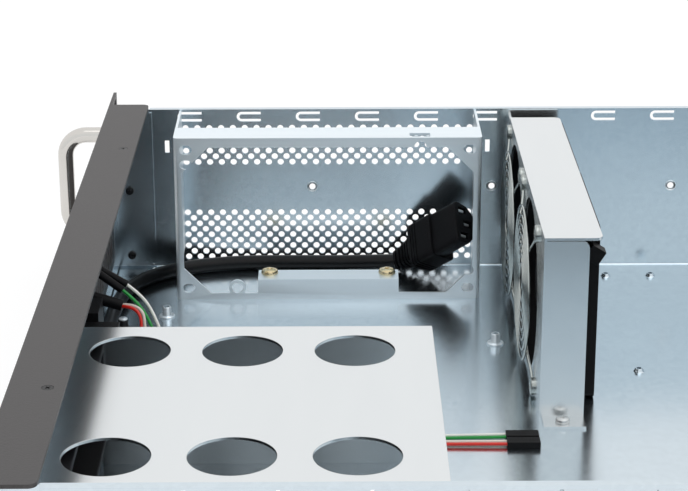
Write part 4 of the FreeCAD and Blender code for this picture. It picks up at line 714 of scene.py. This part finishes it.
def pointsMesh(name, spots):
    # Points with the way each one faces
    mesh = bpy.data.meshes.new(name)
    mesh.from_pydata([tuple(spot) for spot, way in spots], [], [])
    ways = mesh.attributes.new("facing", "FLOAT_VECTOR", "POINT")
    for index, (spot, way) in enumerate(spots):
        ways.data[index].vector = way
    return mesh


def scattered(name, model, facts):
    holder = newObject(name + "Model", model)
    points = pointsMesh(name, facts["places"])
    mesh = grown(name, points, modelOnPoints, facts["finish"], Model=holder, Twist=recessTwist)
    bpy.data.objects.remove(holder)
    newPiece(name, smoothed(mesh, 38), facts["finish"], facts.get("nodes", ()))


panHead = {"head": 0.0062, "height": 0.002, "dome": 0.5, "shank": 0.003}
steel = {"finish": "screwSteel", "slot": "screw_steel"}
black = {"finish": "blackScrew", "slot": "black_screw"}
zinc = {"finish": "zincPlate", "slot": "zinc"}
screwSets = {
    "cageScrews": {
        "shape": {**panHead, "length": 0.0022}, **steel, "nodes": ["cage_screws"],
        "places": facing(up, [(x, y, 1.2) for x in (231.1, 392.5) for y in (41.0, 142.0)])},
    "fanWallScrew": {
        "shape": {**panHead, "length": 0.0022}, **steel, "nodes": ["fan_wall_screws"],
        "places": facing(up, [(199.5, 211.6, 1.2)])},
    "bracketScrews": {
        "shape": {"head": 0.0085, "height": 0.0024, "dome": 0.75, "shank": 0.003, "length": 0.0034},
        "finish": "yellowZinc", "slot": "yellow_zinc", "nodes": ["psu_bracket_screws"],
        "places": facing(up, [(39.25, 81.5, 10.5), (39.25, 140.0, 10.5)])},
    "frameScrews": {
        "shape": {"head": 0.0044, "height": 0.0018, "dome": 0.6, "shank": 0.003, "length": 0.0022},
        **black, "nodes": ["frame_screws"], "places": onBothWalls(1.2, [(9.3, 6.5), (9.3, 41.5), (9.3, 76.5)])},
    "panelScrews": {
        "shape": {"head": 0.0042, "height": 0.0014, "dome": 0, "shank": 0.003, "length": 0.0045, "sunk": True,
                  "recess": 0.5}, **black, "nodes": ["panel_screws"],
        "places": facing(up, [(x, 14, 85.55) for x in (72, innerWidth - 72)])},
    "fanScrews": {
        "shape": {"head": 0.0078, "height": 0.0008, "dome": 0.7, "shank": 0.0042, "length": 0.010},
        "finish": "guardWire", "slot": "screw_steel", "nodes": ["fan_screws"],
        "places": facing(forward, [
            (across + x * fanPlace["screwReach"], fanPlace["screwSeat"],
             fanPlace["level"] + z * fanPlace["screwReach"])
            for across in fanPlace["centres"].values() for x in (-1, 1) for z in (-1, 1)])},
    "slotScrews": {
        "shape": {**panHead, "length": 0.004}, **steel, "nodes": ["slot_screws"],
        "places": facing(back, [(132.8 - 20.32 * step, 492, 74.6) for step in range(7)])},
    "inletScrews": {
        "shape": {**panHead, "length": 0.0055}, **steel, "nodes": ["inlet_screws"],
        "places": facing(back, [(376, 494.5, 24), (416, 494.5, 24)])},
    "handleScrews": {
        "shape": {**panHead, "shank": 0.004, "length": 0.0112}, **steel, "nodes": ["handle_screws"],
        "places": facing(back, [
            ((innerWidth + x * handleShape["pitch"]) / 2, 1.5, handleShape["level"] + z * handleShape["span"] / 2)
            for x in (-1, 1) for z in (-1, 1)])},
}
for name, facts in screwSets.items():
    scattered(name, crossHead(**facts["shape"]), facts)

boardPlaces = [(x, y, 0) for x in (17.4, 141.86, 299.34) for y in (252.4, 324.79, 479.73)] + [(17.4, 275.26, 0)]
turnedSets = {
    "floorStuds": {
        "shape": [(0, -0.3), (3.9, -0.3), (3.9, 0.3), (3.6, 0.6), (2.35, 0.6), (2.15, 0.9), (2.15, 4.6),
                  (1.85, 5), (1.3, 5), (1.3, 2.2), (0, 1.8)],
        **zinc, "nodes": ["floor_studs"], "places": facing(up, [(71.5, 32.2, 0.3), (107.9, 189.4, 0.3)])},
    # A black stud under a lighter zinc cap: the cap on its top is a painted highlight
    "darkStud": {
        "shape": [(0, -0.2), (2.7, -0.2), (2.7, 2.2), (2.4, 3), (2.4, 4.8), (2, 5.3), (0, 5.5)],
        **black, "places": facing(up, [(88.6, 12.6, 0.2)])},
    "studCap": {
        "shape": [(0, 5.1), (2.1, 5.1), (2.2, 5.3), (2.1, 5.7), (1.5, 6.1), (0, 6.2)],
        **zinc, "places": facing(up, [(88.6, 12.6, 0.2)])},
    "boardBosses": {
        "shape": [(1.15, -1.1), (1.75, -1.1), (1.75, 0), (2.5, 0), (2.1, 0.4), (1.85, 1.4), (1.7, 1.6),
                  (1.15, 1.6), (1.15, -1.1)],
        "steps": 24, "finish": "galvanised", "slot": "galvanised", "places": facing(up, boardPlaces)},
    "railRims": {
        "shape": [(1.6, -0.8), (1.69, -0.8), (1.69, 0), (2.8, 0), (2.7, 0.2), (2.5, 0.24), (1.6, -0.3),
                  (1.6, -0.8)],
        **zinc, "places": onBothWalls(0, [(102.7 + 91.7 * step, 43) for step in range(5)])},
}
for name, facts in turnedSets.items():
    scattered(name, turned(name, inMetres(facts["shape"]), facts.get("steps", 28)), facts)
print("screws set")


# Fans

# Metres and degrees, but for the rotor's place and its hub's profile, in millimetres
guardShape = {"wire": 0.0012, "rings": 7, "firstRadius": 0.0085, "ringStep": 0.0044, "lift": 0.0034,
              "eye": 0.0039, "eyeHole": 0.0024, "flatTo": 0.022, "bendTo": 0.0255}
rotorShape = {
    "blades": 7, "root": 0.0166, "tip": 0.0368, "rootPitch": 48, "tipPitch": 30, "sweep": 0.22, "rootChord": 0.0129,
    "tipChord": 0.0159, "bow": 0.0014, "halfThick": 0.00055, "middle": 0.008, "steps": 8, "behindFront": 4.2,
    "hub": [(0, 0), (13.5, 0), (15.8, 0.6), (17, 2.2), (17, 15.8), (15.5, 16), (15.5, 5.2), (2.1, 5.2),
            (2.1, 4.2), (0, 4.2)]}


def buildGuard(node, across):
    # Rings on two crossed wires, whose ends step down to eyes under the screws
    centre = at(across, fanPlace["wallFront"], fanPlace["level"])
    wire, lift, eye, hole = (guardShape[key] for key in ("wire", "lift", "eye", "eyeHole"))
    reach = fanPlace["screwReach"] / 1000
    half = [(guardShape["flatTo"], wire * 0.6 - lift), (guardShape["bendTo"], wire - lift),
            (reach * 0.9, -wire / 2), (reach, -wire / 2)]
    spots = [(-along, deep) for along, deep in reversed(half)] + half
    parts = []
    for sign in (-1, 1):
        bent = [(centre.x + along, centre.y + deep, centre.z + sign * along) for along, deep in spots]
        parts.append(baked(newObject("guardWire", bentLine("guardWire", bent, wire, 3))))
    section = [(hole, -wire / 2), (hole, wire / 2), (eye, wire / 2), (eye, -wire / 2), (hole, -wire / 2)]
    for x in (-1, 1):
        for z in (-1, 1):
            place = Vector((centre.x + x * reach, centre.y - wire / 2, centre.z + z * reach))
            parts.append(moved(turned("guardEye", section, 24),
                               Matrix.Translation(place) @ Matrix.Rotation(math.pi / 2, 4, "X")))
    ringPlane = Vector((centre.x, centre.y - lift, centre.z))
    cross = moved(joined("guardCross", parts), Matrix.Translation(-ringPlane))
    name = pieceName(node)
    mesh = grown(name, cross, wireRings, "guardWire", Rings=guardShape["rings"], Wire=wire,
                 FirstRadius=guardShape["firstRadius"], RingStep=guardShape["ringStep"])
    mesh.transform(Matrix.Translation(ringPlane))
    newPiece(name, smoothed(mesh, 40), "guardWire", [node])


def makeBlade():
    # Two bowed skins that sweep and flatten towards the tip, closed round their edges
    steps = rotorShape["steps"]
    row = steps + 1
    half = row * row

    def blend(low, high, share):
        return rotorShape[low] + (rotorShape[high] - rotorShape[low]) * share

    verts = []
    for side in (-1, 1):
        for i in range(row):
            share = i / steps
            radius = blend("root", "tip", share)
            pitch = math.radians(blend("rootPitch", "tipPitch", share))
            for j in range(row):
                t = j / steps - 0.5
                along = t * blend("rootChord", "tipChord", share)
                off = rotorShape["bow"] * (1 - 4 * t * t) + rotorShape["halfThick"] * (1 - (2 * t) ** 4 * 0.7) * side
                depth = rotorShape["middle"] + along * math.sin(pitch) - off * math.cos(pitch)
                angle = (along * math.cos(pitch) + off * math.sin(pitch)) / radius + rotorShape["sweep"] * share
                verts.append((radius * math.cos(angle), radius * math.sin(angle), depth))
    faces = []
    for i in range(steps):
        for j in range(steps):
            for a in (i * row + j, half + i * row + j):
                faces.append((a, a + 1, a + row + 1, a + row))
        for a in (i * row, i * row + steps):
            faces.append((a, a + row, a + row + half, a + half))
        for a in (i, steps * row + i):
            faces.append((a, a + 1, a + 1 + half, a + half))
    return meshFrom("blade", verts, faces)


def buildRotor(node, body, across):
    # A cupped hub and swept blades on the hinge's axis
    centre = at(across, fanPlace["wallFront"] + rotorShape["behindFront"], fanPlace["level"])
    parts = [turned("hub", inMetres(rotorShape["hub"]), 48)]
    for blade in range(rotorShape["blades"]):
        parts.append(moved(makeBlade(), Matrix.Rotation(2 * math.pi * blade / rotorShape["blades"], 4, "Z")))
    name = pieceName(node)
    mesh = moved(joined(name, parts), Matrix.Translation(centre) @ Matrix.Rotation(-math.pi / 2, 4, "X"))
    newPiece(name, smoothed(mesh, 40), "blackPlastic", [node], body)


for side, across in fanPlace["centres"].items():
    buildGuard("fan_guard_" + side, across)
for side, across in fanPlace["centres"].items():
    buildRotor("fan_rotor_" + side, side + "_rotor", across)
print("fans built")


# Buttons and lamps

buttons = {
    "power_button": {"body": "power_cap", "across": 194, "level": 44, "cap": 13, "stem": 0.0065},
    "reset_button": {"body": "reset_cap", "across": 208, "level": 46, "cap": 5, "stem": 0.011},
}
lamps = {
    "power_led": {"name": "powerLamp", "across": 172.5, "level": 64.5, "finish": "greenLens", "slot": "green_lens"},
    "disk_led": {"name": "diskLamp", "across": 179, "level": 52.5, "finish": "redLens", "slot": "red_lens"},
}
lampProfile = [(0, -1.5), (0.9, -1.42), (1.7, -1), (2.3, -0.4), (2.5, 0.4), (2.5, 1.5), (3.5, 1.5), (3.5, 2.7),
               (2.5, 2.7), (2.5, 5.5), (0, 5.5)]


def standing(mesh, facts):
    # A turned mesh laid with its Z along the case's depth
    place = Matrix.Translation(at(facts["across"], 0, facts["level"]))
    return smoothed(moved(mesh, place @ Matrix.Rotation(-math.pi / 2, 4, "X")))


for node, facts in buttons.items():
    radius = facts["cap"] / 2000
    end = 0.0018 + facts["stem"]
    profile = [(0, -0.0009), (radius * 0.55, -0.00095), (radius * 0.86, -0.0012), (radius - 0.0002, -0.00105),
               (radius, -0.0008), (radius, 0.0018), (radius + 0.001, 0.0018), (radius + 0.001, 0.003),
               (0.0013, 0.003), (0.0013, end), (0, end)]
    mesh = standing(turned(pieceName(node), profile, 40), facts)
    newPiece(pieceName(node), mesh, "darkPlastic", [node], facts["body"])
for node, facts in lamps.items():
    mesh = standing(turned(facts["name"], inMetres(lampProfile)), facts)
    newPiece(facts["name"], mesh, facts["finish"], [node])
print("buttons and lamps built")


# Mains plug, in millimetres and degrees

plugShape = {"place": (30.0, 179.2, 33.1), "yaw": 52.0, "pitch": -35.0, "roll": -121.7, "width": 22.8, "height": 12.8,
             "insert": 17.6, "grip": 17.0, "gripWidth": 23.4, "gripHeight": 15.4, "chamfer": 5.2,
             "slots": ((-7, -1.2), (7, -1.2), (0, 1.6)), "grooves": (-28.4, -30.2, -32.0),
             "boot": 14.2, "bootWidth": 14.8, "bootHeight": 13.2, "bootEnd": 9.2, "drop": -4.2, "swing": 2.0,
             "ribs": 6, "ribDepth": 0.9}
reliefShape = {"length": 32, "front": 5.6, "rear": 3.9, "ribs": 8, "ribDepth": 0.7, "steps": 28}


def roundRing(x, halfY, halfZ, power, offset=(0, 0), steps=40, chamfer=0.0, lean=0.0):
    # A rounded box section; power 2 is an ellipse and more is squarer
    ring = []
    for step in range(steps):
        angle = 2 * math.pi * (step + 0.5) / steps
        c, s = math.cos(angle), math.sin(angle)
        y = halfY * math.copysign(abs(c) ** (2 / power), c)
        z = halfZ * math.copysign(abs(s) ** (2 / power), s)
        over = (abs(y) + z) - (halfY + halfZ - chamfer)
        if chamfer and z > 0 and over > 0:
            y -= math.copysign(over / 2, y)
            z -= over / 2
        ring.append(((x - z * math.sin(lean)) / 1000, (y + offset[0]) / 1000,
                     (z * math.cos(lean) + offset[1]) / 1000))
    return ring


def slotBoxes(rear, front, halfWide, halfTall):
    # A box at each of the plug's three slots
    boxes = []
    for y, z in plugShape["slots"]:
        low, high = (rear, y - halfWide, z - halfTall), (front, y + halfWide, z + halfTall)
        boxes.append(boxMesh([v / 1000 for v in low], [v / 1000 for v in high]))
    return boxes


def plugTurn():
    turns = [Matrix.Rotation(math.radians(plugShape[key]), 4, axis)
             for key, axis in (("yaw", "Z"), ("pitch", "Y"), ("roll", "X"))]
    return Matrix.Translation(at(*plugShape["place"])) @ (turns[0] @ turns[1] @ turns[2])


def buildPlug():
    # The socket's insert with three slots, the grip behind it and a ribbed boot
    shape = plugShape
    half, rise = shape["width"] / 2, shape["height"] / 2
    insert = lofted("plugInsert", [
        roundRing(x, half * share, rise * share, 9, steps=56, chamfer=shape["chamfer"])
        for x, share in ((-shape["insert"] - 1, 1.0), (-0.9, 0.99), (-0.25, 0.975), (0, 0.95))])
    insert = cutAway("plugInsert", insert, slotBoxes(-12, 2, 1.6, 2.5))

    front, rear = -shape["insert"], -shape["insert"] - shape["grip"]
    stations = [(front, 0.5, 0.5, 9), (front - 0.15, 0.12, 0.12, 9), (front - 0.5, 0, 0, 9)]  # place, insets, power
    for groove in shape["grooves"]:
        stations += [(groove + 0.45, 0, 0, 8), (groove + 0.3, 0.4, 0.4, 8), (groove - 0.3, 0.4, 0.4, 8),
                     (groove - 0.45, 0, 0, 8)]
    stations += [(rear + 0.6, 0.1, 0.1, 8), (rear + 0.1, 0.6, 0.6, 7), (rear, 1.2, 1.0, 6)]
    rings = [roundRing(x, shape["gripWidth"] / 2 - insetY, shape["gripHeight"] / 2 - insetZ, power)
             for x, insetY, insetZ, power in stations]
    for rib in range(shape["ribs"]):
        for part, inset in ((0.0, shape["ribDepth"]), (0.12, 0.0), (0.62, 0.0), (0.74, shape["ribDepth"])):
            share = (rib + part) / shape["ribs"]
            y = (shape["bootWidth"] + (shape["bootEnd"] - shape["bootWidth"]) * share) / 2 - inset
            z = (shape["bootHeight"] + (shape["bootEnd"] - shape["bootHeight"]) * share) / 2 - inset
            lean = math.atan(2 * -shape["drop"] * share / shape["boot"])
            offset = (shape["swing"] * share, shape["drop"] * share * share)
            rings.append(roundRing(rear - 0.3 - shape["boot"] * share, y, z, 5 - 3 * share, offset, lean=lean))
    mesh = moved(joined("mainsPlug", [insert, lofted("plugGrip", rings)]), plugTurn())
    return newPiece("mainsPlug", smoothed(mesh, 32), "blackRubber", ["mains_plug"])


def buildContacts():
    # One bright metal contact just inside each of the three slots
    mesh = moved(joined("plugContacts", slotBoxes(-10, -0.8, 0.6, 1.6)), plugTurn())
    return newPiece("plugContacts", mesh, "screwSteel")


def buildStrainRelief():
    # A tapered, ribbed sleeve that follows the cord out of the inlet
    shape = reliefShape
    path = baked(newObject("cordPath", routeLine("cordPath", mainsCord["route"])))
    path = [vert.co.copy() for vert in path.vertices]
    spots, run = [(0.0, path[0])], 0.0
    for before, after in zip(path, path[1:]):
        run += (after - before).length * 1000
        spots.append((run, after))

    def along(length):
        for (low, before), (high, after) in zip(spots, spots[1:]):
            if low <= length <= high:
                return before.lerp(after, (length - low) / (high - low)), (after - before).normalized()

    rings = []
    for rib in range(shape["ribs"]):
        for part, inset in ((0.0, 0.0), (0.5, 0.0), (0.58, shape["ribDepth"]), (0.92, shape["ribDepth"])):
            share = (rib + part) / shape["ribs"]
            spot, way = along(0.01 + shape["length"] * share)
            radius = (shape["front"] + (shape["rear"] - shape["front"]) * share - inset * (1 - 0.7 * share)) / 1000
            side = way.cross(Vector((0, 0, 1))).normalized()
            rise = side.cross(way)
            angles = [2 * math.pi * step / shape["steps"] for step in range(shape["steps"])]
            rings.append([spot + (side * math.cos(a) + rise * math.sin(a)) * radius for a in angles])
    return newPiece("strainRelief", smoothed(lofted("strainRelief", rings)), "blackRubber")


plugPiece = buildPlug()
contactPiece = buildContacts()
reliefPiece = buildStrainRelief()


# Studio

studio = {"floor": (0.86, 0.86, 0.86), "reach": 6.0, "glow": 1.08, "glowShare": 0.8, "caseHalf": (0.2145, 0.246),
          "world": 0.88, "sky": (0.97, 0.985, 1), "room": (0.9215, 0.9405, 0.95), "darkSide": (-0.2, 0.75),
          "darkBelow": (0.35, 0.8),
          "keyPower": 9.0, "keySize": 2.0, "keyPlace": (0.5, 0.5, 2.2)}


def emptied(owner):
    owner.use_nodes = True
    owner.node_tree.nodes.clear()
    return owner.node_tree


def seenRay(tree):
    # One where the camera or a mirror looks, so that both see the pale background
    rays = addNode(tree, "ShaderNodeLightPath")
    return maths(tree, "MAXIMUM", rays.outputs["Is Camera Ray"], rays.outputs["Is Glossy Ray"])


def ramp(tree, value, span, ends):
    return addNode(tree, "ShaderNodeMapRange", {
        "Value": value, "From Min": span[0], "From Max": span[1], "To Min": ends[0], "To Max": ends[1]},
        interpolation_type="SMOOTHSTEP").outputs[0]


def buildFloor():
    reach, level = studio["reach"], cadBounds[0][2]
    floor = bpy.data.meshes.new("studioFloor")
    floor.from_pydata([(x * reach, y * reach, level) for x, y in ((-1, -1), (1, -1), (1, 1), (-1, 1))], [],
                      [(0, 1, 2, 3)])
    newObject("studioFloor", floor)
    paper = bpy.data.materials.new("studioPaper")
    tree = emptied(paper)
    out = addNode(tree, "ShaderNodeOutputMaterial")
    matte = result(tree, "ShaderNodeBsdfDiffuse", (*studio["floor"], 1))
    glow = result(tree, "ShaderNodeEmission", (1, 1, 1, 1), studio["glow"])
    away = addNode(tree, "ShaderNodeSeparateXYZ", {0: addNode(tree, "ShaderNodeTexCoord").outputs["Object"]})
    # Under the case the floor doesn't glow, so the holes in its sheet stay dark
    outside = [maths(tree, "GREATER_THAN", maths(tree, "ABSOLUTE", away.outputs[axis]), half)
               for axis, half in enumerate(studio["caseHalf"])]
    shining = maths(tree, "MULTIPLY", seenRay(tree), maths(tree, "MAXIMUM", *outside))
    share = maths(tree, "MULTIPLY", shining, studio["glowShare"])
    tree.links.new(result(tree, "ShaderNodeMixShader", share, matte, glow), out.inputs[0])
    floor.materials.append(paper)


def buildWorld():
    world = bpy.data.worlds.new("studioWorld")
    bpy.context.scene.world = world
    tree = emptied(world)
    out = addNode(tree, "ShaderNodeOutputWorld")
    plain = result(tree, "ShaderNodeBackground", (*studio["sky"], 1), studio["world"])
    way = addNode(tree, "ShaderNodeSeparateXYZ", {0: addNode(tree, "ShaderNodeTexCoord").outputs["Generated"]})
    # The room is a shade darker low down on the camera's side
    side = ramp(tree, way.outputs[0], studio["darkSide"], (0, 1))
    low = ramp(tree, way.outputs[2], studio["darkBelow"], (1, 0))
    both = maths(tree, "MULTIPLY", side, low)
    tone = addNode(tree, "ShaderNodeMix", {0: both, 6: (1, 1, 1, 1), 7: (*studio["room"], 1)}, data_type="RGBA")
    white = result(tree, "ShaderNodeBackground", tone.outputs[2], 1.0)
    tree.links.new(result(tree, "ShaderNodeMixShader", seenRay(tree), plain, white), out.inputs[0])


def buildKey():
    lamp = bpy.data.lights.new("keyLight", "AREA")
    lamp.energy = studio["keyPower"]
    lamp.size = studio["keySize"]
    key = newObject("keyLight", lamp)
    key.location = studio["keyPlace"]
    key.rotation_euler = (-key.location).to_track_quat("-Z", "Y").to_euler()


buildFloor()
buildWorld()
buildKey()
bpy.context.scene.view_settings.view_transform = "Standard"
print("studio lit")
